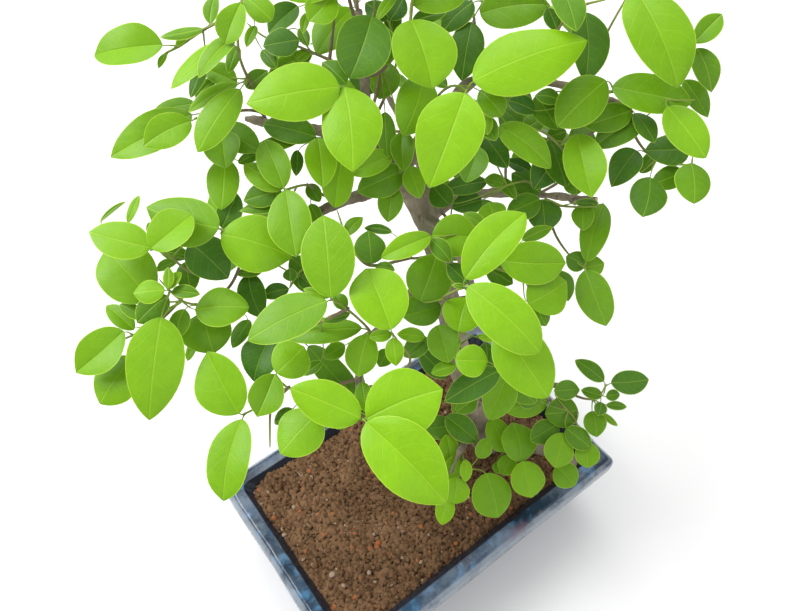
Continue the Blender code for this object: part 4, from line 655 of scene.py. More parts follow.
def eased(path):
    for _ in range(4):
        path = relaxed(clear_of_limbs(path, 2), 1)
    return path


def stem_radii(path):
    return np.linspace(1.30, 0.75, len(path)) * TWIG_RADIUS


def stem_tree(path):
    return tree_of(tube(path, stem_radii(path) + 0.0004, STEM_SIDES))


def drawn_path(points):
    return smooth_path(points, 2 if len(points) < 5 else 1)


def stem_paths(shoot, obstacles):
    """A shoot's stems: the first starts at the limb, the others in the ones before. Where they would cross
    something they start elsewhere on the limb, or stand nearer to the viewer or farther away."""
    for shift in (0, -3, 3, -6, 6, -9, 9, -12, 12):
        drawn = [[sight(x, y, (distance + shift) / 1000) for x, y, distance in stem] for stem in shoot.stems]
        for foot, knee in off_limb(shoot.limb, drawn[0]):
            paths = [eased(np.vstack([[foot], drawn_path([knee, *drawn[0]])]))]
            for points in drawn[1:]:
                made = np.vstack(paths)
                start = made[np.argmin(np.linalg.norm(made - points[0], axis=1))]
                paths.append(eased(drawn_path([start, *points[1:]])))
            if not any(crosses(stem_tree(path), obstacles) for path in paths):
                return paths
    return None


def joints(path):
    """Where leaves may join a stem: its points after the first, and one just inside its end."""
    return np.vstack([path[1:-1], [path[-1] + 0.0009 * unit(path[-2] - path[-1])]])


print("trunk length:", round(float(np.linalg.norm(np.diff(limb_path("trunk")[0], axis=0), axis=1).sum()), 3), "m")

# %% [markdown]
# ## Leaves that show, and shoots that grow by rule
# A leaf from the table is turned to face between the viewer and the sky. Behind the tree, where nothing was
# seen, shoots grow by rule: crossed pairs of leaves on a twig that turns up to the light, kept wherever they
# stay out of the view.

# %% Place the leaves
def leaf_normal(axis, turn):
    """The way a blade faces: between the viewer and the sky, square to its axis, turned a little."""
    face = -FORWARD + 0.45 * SKY
    face = unit(face - axis * (face @ axis) / (axis @ axis))
    side = unit(np.cross(face, axis))
    return unit(math.cos(turn) * face + math.sin(turn) * side)


def placed_blade(leaf, stems, extra, dice):
    """The blade that shows where the leaf says, moved along its sight line by extra metres."""
    tilt, turn, arch = dice
    ways = np.vstack([joints(path)[2:] if k == 0 else joints(path) for k, path in enumerate(stems)])
    x, y, distance = picture(ways)
    near = np.argmin((x - leaf.foot_x)**2 + (y - leaf.foot_y)**2)
    reach = distance[near] + leaf.behind / 1000 + extra
    foot = sight(leaf.foot_x, leaf.foot_y, reach)
    level = unit(-FORWARD + 0.45 * SKY)
    ray = sight(leaf.tip_x, leaf.tip_y, 1.0) - EYE
    tip_reach = (level @ (foot - EYE)) / (level @ ray)
    length = math.hypot(leaf.tip_x - leaf.foot_x, leaf.tip_y - leaf.foot_y) * reach / FOCAL
    tip_reach = min(max(tip_reach, reach - 0.45 * length), reach + 0.45 * length) + tilt * length
    tip = EYE + tip_reach * ray
    axis = tip - foot
    reaches = foot - ways
    apart = np.linalg.norm(reaches, axis=1)
    joint = ways[np.argmin(apart + 0.010 * (1 - reaches @ unit(axis) / apart))]
    if np.linalg.norm(foot - joint) < 0.0015:
        foot = joint + 0.0015 * unit(axis)
    normal = leaf_normal(axis, turn)
    side = unit(np.cross(normal, axis))
    across = np.array([-(leaf.tip_y - leaf.foot_y), -(leaf.tip_x - leaf.foot_x)], float)
    seen = abs(np.array([side @ RIGHT, side @ UP]) @ across) / np.linalg.norm(across)
    width = leaf.width * 0.5 * (reach + tip_reach) / FOCAL / max(seen, 0.5)
    return Blade(joint, foot, tip, normal, width, arch * length, leaf.peak, leaf.tone)


def blade_stations(blade):
    return (0.20, 0.52, 0.84) if blade.width > BROAD_BLADE else (0.30, 0.75)


def blade_trees(blade):
    """The blade a little fattened, for the crossing tests: with its stalk, and without."""
    short = blade._replace(joint=blade.foot + 0.02 * (blade.tip - blade.foot))
    whole, clear = (blade_solid(each, (0.20, 0.52, 0.84), 0.0004) for each in (blade, short))
    return tree_of(whole), tree_of(clear)


def settle(leaf, stems, own, others, dice):
    """The blade at the nearest place along its sight line where it crosses nothing that stands already."""
    for step in (0, 2, -2, 4, -4, 6, -6, 9, -9, 12, -12, 16, -16, 20, -20, 24, -24, 28, 34, 40):
        blade = placed_blade(leaf, stems, step / 1000, dice)
        whole, short = blade_trees(blade)
        if crosses(whole, others) or crosses(short, own):
            continue
        if not crosses_itself(blade_solid(blade, blade_stations(blade))):
            return blade, whole, short
    return None, None, None


def outline_cover(blades):
    """A map of the picture in cells of 4: the distance of the nearest blade, or far where there is none."""
    cell = 4
    grid_y, grid_x = np.mgrid[-2:PICTURE_BOTTOM:cell, 0:800:cell].astype(float)
    nearest = np.full(grid_x.shape, 9.0)
    for blade in blades:
        (x0, x1), (y0, y1), (d0, d1) = picture(np.array([blade.foot, blade.tip]))
        length = math.hypot(x1 - x0, y1 - y0)
        along = ((grid_x - x0) * (x1 - x0) + (grid_y - y0) * (y1 - y0)) / length**2
        across = abs((grid_x - x0) * (y1 - y0) - (grid_y - y0) * (x1 - x0)) / length
        inside = (along > 0.02) & (along < 0.98)
        limit = 0.5 * blade.width * FOCAL / d0 * half_width(np.clip(along, 0, 1), blade.peak)
        hit = inside & (across < limit - 1)
        nearest[hit] = np.minimum(nearest[hit], d0 + (d1 - d0) * along[hit])
    return nearest, cell


def out_of_sight(blade, cover):
    """True where the picture wouldn't show the blade: above its top edge, or behind what shows."""
    nearest, cell = cover
    axis = blade.tip - blade.foot
    side = unit(np.cross(blade.normal, axis))
    points = [blade.foot + t * axis + s * 0.5 * blade.width * half_width(t, blade.peak) * side
              for t in (0.05, 0.3, 0.55, 0.8, 0.97) for s in (-1, 0, 1)]
    x, y, distance = picture(np.array(points))
    for px, py, reach in zip(x, y, distance):
        if py < -10 or py > PICTURE_BOTTOM or not 0 < px < 796:
            continue
        if nearest[int((py + 2) / cell), int(px / cell)] > reach - 0.004:
            return False
    return True


def grown_shoot(spec, obstacles, cover, dice):
    """A shoot by rule: a stem that turns up to the light, with crossed pairs of leaves."""
    limb, place, heading, length, pairs = spec
    path, _ = limb_path(limb, 6)
    start = path[int(place * (len(path) - 1))]
    heading = unit(np.array(heading))
    foot, knee = off_limb(limb, [start + 0.010 * heading, start + 0.020 * heading])[0]
    points = [knee]
    for k in range(1, pairs + 1):
        heading = unit(heading + 0.16 * SKY + np.array([dice.uniform(-0.12, 0.12) for _ in range(3)]))
        points.append(points[-1] + heading * length / pairs)
    stem = relaxed(np.vstack([[foot], drawn_path(points)]), 1)
    blades, own, wholes = [], [], []
    for k in range(1, pairs + 1):
        places = joints(stem)
        joint = places[np.argmin(np.linalg.norm(places - points[k], axis=1))]
        way = unit(points[k] - points[k - 1])
        across = unit(np.cross(way, SKY))
        if k % 2 == 0:
            across = np.cross(way, across)
        size = dice.uniform(0.024, 0.034) * (0.75 if k == pairs else 1.0)
        for sign in (1, -1):
            for lean in (0.55, 0.9, 0.25, 1.3, -0.1):
                axis = unit(sign * across + lean * way + 0.10 * SKY)
                normal = SKY + 0.5 * way - axis * ((SKY + 0.5 * way) @ axis)
                foot = joint + 0.0035 * axis
                blade = Blade(joint, foot, foot + size * axis, unit(normal), size * dice.uniform(0.54, 0.66),
                              0.07 * size, 0.45, dice.uniform(0.3, 0.8))
                whole, short = blade_trees(blade)
                if out_of_sight(blade, cover) and not crosses(whole, obstacles) and not crosses(short, own):
                    blades.append(blade)
                    own.append(short)
                    wholes.append(whole)
                    break
    return stem, blades, wholes


print("leaf placing is ready")

# %% [markdown]
# ## Plain pot, soil and trunk
# The leaves keep clear of the pot, the soil and the wood, so plain bodies of these stand in as well.

# %% Plain bodies, and every shoot in its place
def rounded_rectangle(inset, height, radius, long_steps, short_steps):
    """A ring round the pot, corner by corner from +X +Y, with points along the straight sides too."""
    half_x, half_y = POT_LENGTH / 2 - inset, POT_WIDTH / 2 - inset
    ring = []
    for quarter, (sx, sy) in enumerate([(1, 1), (-1, 1), (-1, -1), (1, -1)]):
        cx, cy = sx * (half_x - radius), sy * (half_y - radius)
        for k in range(CORNER_STEPS + 1):
            angle = math.pi / 2 * (quarter + k / CORNER_STEPS)
            ring.append((cx + radius * math.cos(angle), cy + radius * math.sin(angle), height))
        steps = long_steps if quarter % 2 == 0 else short_steps
        tx, ty = (-1, 0) if quarter == 0 else (0, -1) if quarter == 1 else (1, 0) if quarter == 2 else (0, 1)
        run = 2 * ((half_x if quarter % 2 == 0 else half_y) - radius)
        end = ring[-1]
        for k in range(1, steps):
            ring.append((end[0] + tx * run * k / steps, end[1] + ty * run * k / steps, height))
    return np.array(ring)


def ring_of(index, extra=0.0, long_steps=1, short_steps=1):
    inset, height, radius = (value / 1000 for value in POT_RINGS[index])
    return rounded_rectangle(inset + extra, height, radius - extra, long_steps, short_steps)


def loft(rings):
    """A closed solid through rings of equal length, with flat ends."""
    count = len(rings[0])
    faces = [tuple(range(count))[::-1], tuple(range(count * (len(rings) - 1), count * len(rings)))]
    for ring in range(len(rings) - 1):
        for k in range(count):
            a, b = ring * count + k, ring * count + (k + 1) % count
            faces.append((a, b, b + count, a + count))
    return np.vstack(rings), faces


def soil_height(x, y):
    """The soil's top: higher at the back, a mound round the trunk, and lumps about 23 mm apart."""
    humps = 0.0009 * np.sin(95 * x + 1.3) * np.cos(120 * y) + 0.0006 * np.sin(210 * x - 160 * y)
    lumps = 0.0009 * np.sin(272 * x + 2.1 * np.sin(61 * y)) * np.sin(266 * y + 1.7 * np.sin(57 * x) + 0.6)
    mound = 0.0022 * np.exp(-((x - 0.048)**2 + (y + 0.007)**2) / 0.018**2)
    return SOIL_LEVEL + SOIL_TILT * y + humps + lumps + mound


def soil_body():
    """The plain soil: it fills the pot, 0.3 mm clear of its wall."""
    floor, side, low, high = (ring_of(index, GAP, 11, 7) for index in (13, 12, LIP_LOW, LIP_INNER))
    floor[:, 2] += GAP
    rings = [floor, side, low]
    edge = []
    for a, b in zip(low, high):
        share = (soil_height(a[0], a[1]) - 0.0008 - a[2]) / (b[2] - a[2])
        edge.append(a + share * (b - a))
    rings.append(np.array(edge))
    for scale in (0.92, 0.78, 0.63, 0.47, 0.31, 0.15):
        ring = rings[3] * (scale, scale, 1)
        ring[:, 2] = [soil_height(x, y) for x, y, _ in ring]
        rings.append(ring)
    return loft(rings)


def trunk_bodies():
    """Trunk, limbs and the sawn stub in one, with the foot standing in its hole."""
    solids = []
    for name in LIMBS:
        path, radii = limb_path(name)
        if name == "trunk":
            foot = path[0]
            low = [(foot[0], foot[1], TRUNK_FOOT_Z), (foot[0], foot[1], foot[2] - 0.001)]
            path = np.vstack([low, path[1:]])
            flare = [TRUNK_FOOT_RADIUS, TRUNK_FOOT_RADIUS]
            radii = np.concatenate([flare, radii[1:]])
        solids.append(tube(path, radii, 10 if name == "trunk" else 6))
    return solids


def all_shoots(solid_trees):
    """Every shoot's stems and blades. The shoots that show come first, and keep clear of all stems."""
    dice = random.Random(SEED)
    stems, stem_trees = {}, {}
    for name, shoot in SHOOTS.items():
        taken = [tree for group in stem_trees.values() for tree in group]
        stems[name] = stem_paths(shoot, solid_trees + taken)
        stem_trees[name] = [stem_tree(path) for path in stems[name]]
    blades, trees = {}, []
    for name, shoot in SHOOTS.items():
        others = [tree for other, group in stem_trees.items() if other != name for tree in group]
        blades[name], own, wholes = [], [], []
        for leaf in shoot.leaves:
            tilt = (dice.uniform(-0.10, 0.10), dice.uniform(-0.22, 0.22), dice.uniform(0.03, 0.09))
            blade, whole, short = settle(leaf, stems[name], own, solid_trees + others + trees, tilt)
            if blade:
                blades[name].append(blade)
                own.append(short)
                wholes.append(whole)
            else:
                print("no room for", name, leaf)
        trees += wholes
    cover = outline_cover([blade for group in blades.values() for blade in group])
    obstacles = solid_trees + [tree for group in stem_trees.values() for tree in group] + trees
    for name, spec in HIDDEN_SHOOTS.items():
        for _ in range(8):
            stem, grown, grown_trees = grown_shoot(spec, obstacles, cover, dice)
            body = stem_tree(stem)
            if len(grown) >= spec[-1] and not crosses(body, obstacles):
                stems[name], blades[name] = [stem], grown
                obstacles += grown_trees + [body]
                break
        else:
            print("left out", name)
    return stems, blades


plain_pot = loft([ring_of(k) for k in range(len(POT_RINGS))])
plain_bodies = [tree_of(body) for body in (plain_pot, soil_body(), *trunk_bodies())]
shoot_stems, shoot_blades = all_shoots(plain_bodies)
print("shoots:", len(shoot_stems), "leaves:", sum(len(group) for group in shoot_blades.values()))

# %% [markdown]
# ## Surfaces as whole arrays
# Almost everything here is a bundle of closed tubes: a twig is a round one, a leaf is a flat one, and a pot
# is a wide one that turns back down inside itself. So one function joins rings of points to closed skins,
# and another puts them into a mesh with the numbers that the materials read. Both take whole arrays, which
# is far quicker than adding faces one by one.

# %% Rings to skins, and skins to a piece
def skins(rings, first, last):
    """Points and faces of many closed tubes. rings is (tube, ring, around, 3), and each tube is closed
    by a fan of triangles to its first and its last pole, (tube, 3)."""
    tubes, length, around, _ = rings.shape
    size = length * around + 2
    points = np.concatenate([rings.reshape(tubes, -1, 3), first[:, None], last[:, None]], axis=1)
    start = np.arange(tubes)[:, None, None] * size
    ring = np.arange(length - 1)[None, :, None] * around
    here = np.arange(around)[None, None, :]
    onward = (here + 1) % around
    low, high = start + ring + here, start + ring + onward
    quads = np.stack([low, high, high + around, low + around], axis=-1).reshape(-1, 4)
    here, onward, start = here[0], onward[0], start[:, 0]
    pole = start + length * around + 0 * here
    end = start + (length - 1) * around
    fans = [np.stack([start + onward, start + here, pole], axis=-1),
            np.stack([end + here, end + onward, pole + 1], axis=-1)]
    return points.reshape(-1, 3), quads, np.concatenate(fans).reshape(-1, 3)


def over_points(values, rings):
    """One number for each point of the tubes, from an array that spreads over (tube, ring, around)."""
    tubes, length, around, _ = rings.shape
    full = np.broadcast_to(values, (tubes, length, around)).reshape(tubes, -1)
    ends = [full[:, :around].mean(axis=1)[:, None], full[:, -around:].mean(axis=1)[:, None]]
    return np.concatenate([full, *ends], axis=1).ravel()


POLE = 9


def piece(name, parts, materials):
    """A mesh object from parts, each (points, quads, triangles, material index, {attribute: numbers}).
    Points with the same crisp number, or a pole and any of them, share a sharp edge."""
    points = np.concatenate([part[0] for part in parts])
    shifts = np.cumsum([0] + [len(part[0]) for part in parts[:-1]])
    quads = np.concatenate([part[1] + shift for part, shift in zip(parts, shifts)]).astype(np.int32)
    fans = np.concatenate([part[2] + shift for part, shift in zip(parts, shifts)]).astype(np.int32)
    mesh = bpy.data.meshes.new(name)
    mesh.vertices.add(len(points))
    mesh.vertices.foreach_set("co", points.astype(np.float32).ravel())
    mesh.loops.add(quads.size + fans.size)
    mesh.loops.foreach_set("vertex_index", np.concatenate([quads.ravel(), fans.ravel()]))
    starts = np.concatenate([np.arange(len(quads)) * 4, quads.size + np.arange(len(fans)) * 3])
    mesh.polygons.add(len(starts))
    mesh.polygons.foreach_set("loop_start", starts.astype(np.int32))
    slots = [np.concatenate([np.full(len(part[kind]), part[3]) for part in parts]) for kind in (1, 2)]
    mesh.polygons.foreach_set("material_index", np.concatenate(slots).astype(np.int32))
    mesh.update(calc_edges=True)
    crisp = np.concatenate([part[4].get("crisp", np.zeros(len(part[0]))) for part in parts])
    for key in parts[0][4]:
        if key == "crisp":
            continue
        layer = mesh.attributes.new(key, "FLOAT", "POINT")
        layer.data.foreach_set("value", np.concatenate([part[4][key] for part in parts]).astype(np.float32))
    for material in materials:
        mesh.materials.append(material)
    mesh.shade_smooth()
    ends = np.empty(len(mesh.edges) * 2, np.int32)
    mesh.edges.foreach_get("vertices", ends)
    a, b = crisp[ends.reshape(-1, 2)].T
    crease = (a > 0) & (b > 0) & ((a == b) | (np.maximum(a, b) == POLE))
    mesh.attributes.new("sharp_edge", "BOOLEAN", "EDGE").data.foreach_set("value", crease)
    mesh.attributes.new("crease_edge", "FLOAT", "EDGE").data.foreach_set("value", crease.astype(np.float32))
    made = bpy.data.objects.new(name, mesh)
    bpy.context.scene.collection.objects.link(made)
    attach(made, "root")
    return made


def lengths(vectors):
    return np.linalg.norm(vectors, axis=-1, keepdims=True)


def even_path(path, count):
    """The smooth curve through a path's points, at even steps of its length."""
    curve = smooth_path(path, 6)
    run = np.concatenate([[0], np.cumsum(lengths(np.diff(curve, axis=0))[:, 0])])
    return np.stack([np.interp(np.linspace(0, run[-1], count), run, curve[:, k]) for k in range(3)], axis=-1)


def round_rings(paths, radii, around):
    """Rings round paths (tube, ring, 3): radius times the cosine along one side and the sine along the
    other, both square to the path. The side comes from the way in which the path bends least."""
    along = np.gradient(paths, axis=1)
    along /= lengths(along)
    still = np.linalg.svd(along)[2][:, -1]
    side = np.cross(along, still[:, None])
    side /= lengths(side)
    other = np.cross(along, side)
    turn = np.arange(around) * 2 * np.pi / around
    across = np.cos(turn)[:, None] * side[:, :, None] + np.sin(turn)[:, None] * other[:, :, None]
    return paths[:, :, None] + radii[..., None, None] * across


def fract(values):
    return values - np.floor(values)


def scatter(a, b, seed):
    """A number from 0 to 1 for each pair of whole numbers, the same in every run."""
    return fract(np.sin(a * 12.9898 + b * 78.233 + seed * 37.719) * 43758.5453)


def ripple(points, wave, seed, layers=10):
    """A soft random swell, from about -1 to 1: a sum of sine waves of nearly one length in many ways."""
    draw = np.random.default_rng(seed)
    ways = draw.normal(size=(layers, 3))
    ways *= 2 * np.pi / wave * draw.uniform(0.7, 1.4, (layers, 1)) / lengths(ways)
    return np.sin(points @ ways.T + draw.uniform(0, 2 * np.pi, layers)).sum(axis=-1) / math.sqrt(layers)


def box_size(made):
    return [round(1000 * side) for side in made.dimensions]


print("surface helpers are ready")

# %% [markdown]
# ## Shaders as sums
# A pattern in a material is a small calculation. Wired by hand it takes dozens of nodes, so one class wraps
# a socket and lets Python's own signs add them. Numbers go through Math nodes, vectors through Vector Math,
# and colours are only ever mixed, because a Math node would turn them grey.

# %% One class for the sums and one for the material
class Field:
    """A socket of a shader with Python's signs."""

    def __init__(self, graph, socket):
        self.graph, self.socket = graph, socket

    def sum_with(self, operation, *others, turned=False):
        terms = [*others, self] if turned else [self, *others]
        if self.socket.type == "VALUE":
            return self.graph.node("ShaderNodeMath", {"operation": operation}, dict(enumerate(terms)))
        return self.graph.node("ShaderNodeVectorMath", {"operation": operation}, dict(enumerate(terms)))

    def __add__(self, other):
        return self.sum_with("ADD", other)

    def __sub__(self, other):
        return self.sum_with("SUBTRACT", other)

    def __rsub__(self, other):
        return self.sum_with("SUBTRACT", other, turned=True)

    def __mul__(self, other):
        return self.sum_with("MULTIPLY", other)

    def __truediv__(self, other):
        return self.sum_with("DIVIDE", other)

    def __pow__(self, other):
        return self.sum_with("POWER", other)

    __radd__, __rmul__ = __add__, __mul__

    def low(self, other):
        return self.sum_with("MINIMUM", other)

    def high(self, other):
        return self.sum_with("MAXIMUM", other)

    def step(self, start, end):
        """0 below start, 1 above end, and a smooth rise between. With start above end it falls."""
        if start > end:
            return 1 - self.step(end, start)
        settings = {"interpolation_type": "SMOOTHSTEP"}
        return self.graph.node("ShaderNodeMapRange", settings, {0: self, 1: start, 2: end, 3: 0.0, 4: 1.0})

    def stripes(self):
        """A wave from 0 to 1 and back each time the value passes a whole number."""
        return self.graph.node("ShaderNodeMath", {"operation": "PINGPONG"}, {0: self * 2, 1: 1.0})


class Finish:
    """One material and its nodes."""

    def __init__(self, name, **constants):
        self.material = bpy.data.materials.new(name)
        self.material.use_nodes = True
        self.tree = self.material.node_tree
        self.shader = self.tree.nodes["Principled BSDF"]
        for socket, value in constants.items():
            self.shader.inputs[socket.replace("_", " ")].default_value = value

    def node(self, kind, settings=None, values=None, output=0):
        """Any node: its type, its settings, which come first, and the values or links of its sockets."""
        made = self.tree.nodes.new(kind)
        for key, value in (settings or {}).items():
            if key == "stops":
                for stop, (place, colour) in zip(made.color_ramp.elements, value):
                    stop.position, stop.color = place, (*colour, 1)
            else:
                setattr(made, key, value)
        for key, value in (values or {}).items():
            if isinstance(value, Field):
                self.tree.links.new(value.socket, made.inputs[key])
            elif value is not None:
                made.inputs[key].default_value = value
        return Field(self, made.outputs[output])

    def attribute(self, name):
        return self.node("ShaderNodeAttribute", {"attribute_name": name}, output="Fac")

    def place(self):
        return self.node("ShaderNodeTexCoord", output="Object")

    def stretched(self, scale, turn=(0, 0, 0)):
        return self.node("ShaderNodeMapping", None, {"Vector": self.place(), "Scale": scale, "Rotation": turn})

    def noise(self, scale, detail=2.0, vector=None, rough=0.5):
        values = {"Vector": vector or self.place(), "Scale": scale, "Detail": detail, "Roughness": rough}
        return self.node("ShaderNodeTexNoise", None, values)

    def cells(self, scale, feature="F1", vector=None, output=0):
        values = {"Vector": vector or self.place(), "Scale": scale}
        return self.node("ShaderNodeTexVoronoi", {"feature": feature}, values, output)

    def mix(self, first, second, share, blend="MIX"):
        """A colour between two, each a socket or three numbers."""
        first, second = (c if isinstance(c, Field) else (*c, 1) for c in (first, second))
        settings = {"data_type": "RGBA", "blend_type": blend}
        return self.node("ShaderNodeMix", settings, {0: share, 6: first, 7: second}, 2)

    def feed(self, height=None, lift=0.0001, **sockets):
        """Link what varies to the shader, and a height in metres through a Bump node."""
        for socket, value in sockets.items():
            self.tree.links.new(value.socket, self.shader.inputs[socket.replace("_", " ")])
        if height:
            bump = self.node("ShaderNodeBump", None, {"Height": height, "Distance": lift, "Strength": 1.0})
            self.tree.links.new(bump.socket, self.shader.inputs["Normal"])
        return self.material


print("shader helpers are ready")

# %% [markdown]
# ## The look of a privet leaf
# A privet leaf is bright yellow-green where it is young. Its tone holds both its own colour and painted
# shade: leaves in the shade of others are painted deep green. A bluish grey green on the darker leaves is a
# painted sheen of the sky. A thin pale line runs along its margin, a fine one along its midrib, and faint
# veins leave the rib in arcs. The skin has a soft gloss. The mesh carries for each point how far it is from
# the margin and from the rib, in millimetres, so that these lines keep their width on small and large leaves.

# %% Leaf and twig finishes
DEEP_GREEN, PAINTED_SHEEN_GREEN, BRIGHT_GREEN = (0.022, 0.108, 0.002), (0.050, 0.150, 0.035), (0.215, 0.460, 0.001)
PALE_LINE, UNDERSIDE = (0.470, 0.660, 0.060), (0.200, 0.340, 0.090)

leaf = Finish("leaf", Specular_IOR_Level=0.26)
rim, rib, vein, under = (leaf.attribute(name) for name in ("rim", "rib", "vein", "under"))
mottle = leaf.noise(150, 3) * 0.6 + leaf.noise(560, 2) * 0.4
# the tone is each leaf's own colour with painted shade in it: leaves in the shade of others are painted darker
tone = (leaf.attribute("tone") + (mottle - 0.5) * 0.34).high(0.0).low(1.0)
green = leaf.mix(DEEP_GREEN, BRIGHT_GREEN, tone)
# painted sheen: a bluish grey green, in a random share for each leaf and more on darker leaves, paints the sky's
# reflection
green = leaf.mix(green, PAINTED_SHEEN_GREEN, leaf.attribute("cool") * (1 - tone) * 0.5)
lateral = vein.stripes().step(0.88, 1.0) * rib.step(0.3, 1.2)
network = leaf.cells(1000, "DISTANCE_TO_EDGE").step(0.10, 0.0)
green = leaf.mix(green, PALE_LINE, lateral * 0.09 + network * 0.035)
green = leaf.mix(green, PALE_LINE, rib.step(0.30, 0.06) * 0.30)
green = leaf.mix(green, PALE_LINE, rim.step(0.50, 0.12) * 0.60)
green = leaf.mix(green, UNDERSIDE, under * 0.6)
relief = mottle * 0.7 - lateral * 0.22 - network * 0.14 - rib.step(0.6, 0.1) * 0.5
LEAF = leaf.feed(relief, 0.00016, Base_Color=green, Roughness=under * 0.25 + mottle * 0.26 + 0.26)

twig = Finish("twig", IOR=1.35)
age = twig.attribute("tone")
streak = twig.noise(260, 4, twig.stretched((1, 1, 0.25)))
wood = twig.mix((0.230, 0.330, 0.045), (0.205, 0.150, 0.092), (age + (streak - 0.5) * 0.6).step(0.30, 0.85))
wood = twig.mix(wood, (0.400, 0.340, 0.250), twig.noise(900, 2).step(0.60, 0.72) * age * 0.7)
TWIG = twig.feed(streak, 0.0003, Base_Color=wood, Roughness=streak * 0.3 + 0.5)
print("leaf and twig finishes:", len(LEAF.node_tree.nodes), len(TWIG.node_tree.nodes), "nodes")

# %% [markdown]
# ## Blades
# A blade is a flat closed tube along its midrib. Its half width follows the same curve as the solid's, and
# then the things that make a leaf a leaf come on top: the halves fold up from the rib, the margins roll
# back and wave, the blade twists a little and the tip nods. All the blades of a shoot are worked out at
# once, as arrays with one layer for each leaf. There are hundreds of leaves, so each has only six dozen
# faces, and one level of subdivision rounds its outline. Edges that are marked sharp along the rib and
# the margins keep the fold and the rim crisp.

# %% The blade as a function of two parameters
ROWS = np.array([0.018, 0.10, 0.25, 0.43, 0.61, 0.77, 0.895, 0.975])
COLUMNS = np.array([-1, -0.52, 0, 0.52, 1])
VEINS = 5.5


def outline(along, peak, slope=5.0):
    """Half the width from 0 to 1: a power of the way from the foot times a power of the way to the tip,
    and near the tip no wider than a cone of a slope, which meets it softly. A low slope points the tip."""
    a, b = 0.56, 0.56 * (1 - peak) / peak
    round_one = along**a * (1 - along)**b / (peak**a * (1 - peak)**b)
    cone = slope * (1 - along)
    return (round_one**-7 + cone**-7)**(-1 / 7)


def blade_rings(blades, draw):
    """The rings of all blades. At t along the rib and u across it, the point is the foot, plus t times the
    axis, plus the bow 4t(1-t) and the nod of the tip along the normal, plus u times the half width along
    the side, raised by the fold |u|, lowered by the roll u squared, turned by the twist u(t - 1/2), and
    waved by a sine of t at the margin."""
    foot, tip, normal = (np.array([getattr(each, key) for each in blades]) for key in ("foot", "tip", "normal"))
    width, arch, peak, shade = (np.array([getattr(each, key) for each in blades], float)[:, None, None]
                                for key in ("width", "arch", "peak", "tone"))
    axis = tip - foot
    size = lengths(axis)[:, :, None]
    normal = np.array([each / np.linalg.norm(each) for each in normal])
    side = np.cross(normal, axis)
    side /= lengths(side)
    count = len(blades)
    fold, roll, wave, phase, bend, nod, twist, skew, cool, slope = (
        draw.uniform(low, high, (count, 1, 1)) for low, high in (
            (0.06, 0.42), (0.05, 0.30), (0.008, 0.040), (0, 1), (-0.040, 0.040), (-0.01, 0.08), (-0.30, 0.30),
            (-0.05, 0.05), (0, 1), (3.7, 8.0)))
    t, u = ROWS[None, :, None], COLUMNS[None, None, :]
    half = 0.5 * width * outline(t, peak, slope) * (1 + skew * np.sign(u) + 0.02 * np.sin(9 * t + 6 * phase + u))
    swing = 2 * np.pi * (1.5 * t + phase + 0.28 * np.sign(u))
    lift = half * (fold * abs(u) - roll * u**2 + twist * u * (t - 0.5))
    lift = lift + wave * width * np.sin(swing) * u**2 * np.sin(np.pi * t)
    lift = lift + 4 * t * (1 - t) * arch - nod * size * t**3
    sway = half * u * (1 - 0.5 * fold**2) + bend * size * np.sin(np.pi * t)
    across = abs(half * u)
    spine = foot[:, None, None] + t[..., None] * axis[:, None, None] + sway[..., None] * side[:, None, None]
    top = spine + (lift + 0.00016)[..., None] * normal[:, None, None]
    low = spine + (lift - 0.00018)[..., None] * normal[:, None, None]
    top[:, :, [0, -1]] = low[:, :, [0, -1]] = 0.5 * (top + low)[:, :, [0, -1]]
    ring = np.concatenate([low, top[:, :, -2:0:-1]], axis=2)

    def round_trip(values, below=None):
        values = np.broadcast_to(values, (count, len(ROWS), len(COLUMNS)))
        return np.concatenate([values if below is None else below + 0 * values, values[:, :, -2:0:-1]], axis=2)

    slant = VEINS * t - (0.8 * abs(u) + 0.9 * u**2) * np.sqrt(outline(t, peak)) + phase + 0.25 * np.sign(u)
    # the share of painted sheen is drawn at random for each leaf
    facts = {"rim": round_trip(1000 * half * (1 - abs(u))), "rib": round_trip(1000 * across),
             "vein": round_trip(slant), "tone": round_trip(shade + 0 * half),
             "cool": round_trip(cool**2 + 0 * half), "under": round_trip(0 * half, np.where(abs(u) < 1, 1.0, 0.0))}
    start, end = foot, foot + axis - (nod * size)[:, :, 0] * normal
    crisp = np.concatenate([np.tile([1, 0, 4, 0, 2, 0, 3, 0], len(ROWS)), [POLE, POLE]])
    points, quads, fans = skins(ring, start, end)
    facts = {key: over_points(values, ring) for key, values in facts.items()}
    return points, quads, fans, 0, {**facts, "crisp": np.tile(crisp, count)}


# %% [markdown]
# ## Stalks and twigs
# A leaf stalk leaves its twig at a slant, bends and runs into the blade's rib. A curve with four control
# points does that. A twig is a round tube on its own smooth path, a little thicker at each joint, and it
# ends in a bud.

# %% Stalks, twigs and buds
def bare(rings, shade, first, last):
    points, quads, fans = skins(rings, first, last)
    none = over_points(0.0, rings)
    facts = {key: none for key in ("rim", "rib", "vein", "cool", "under", "crisp")}
    return points, quads, fans, 1, {**facts, "tone": over_points(shade, rings)}


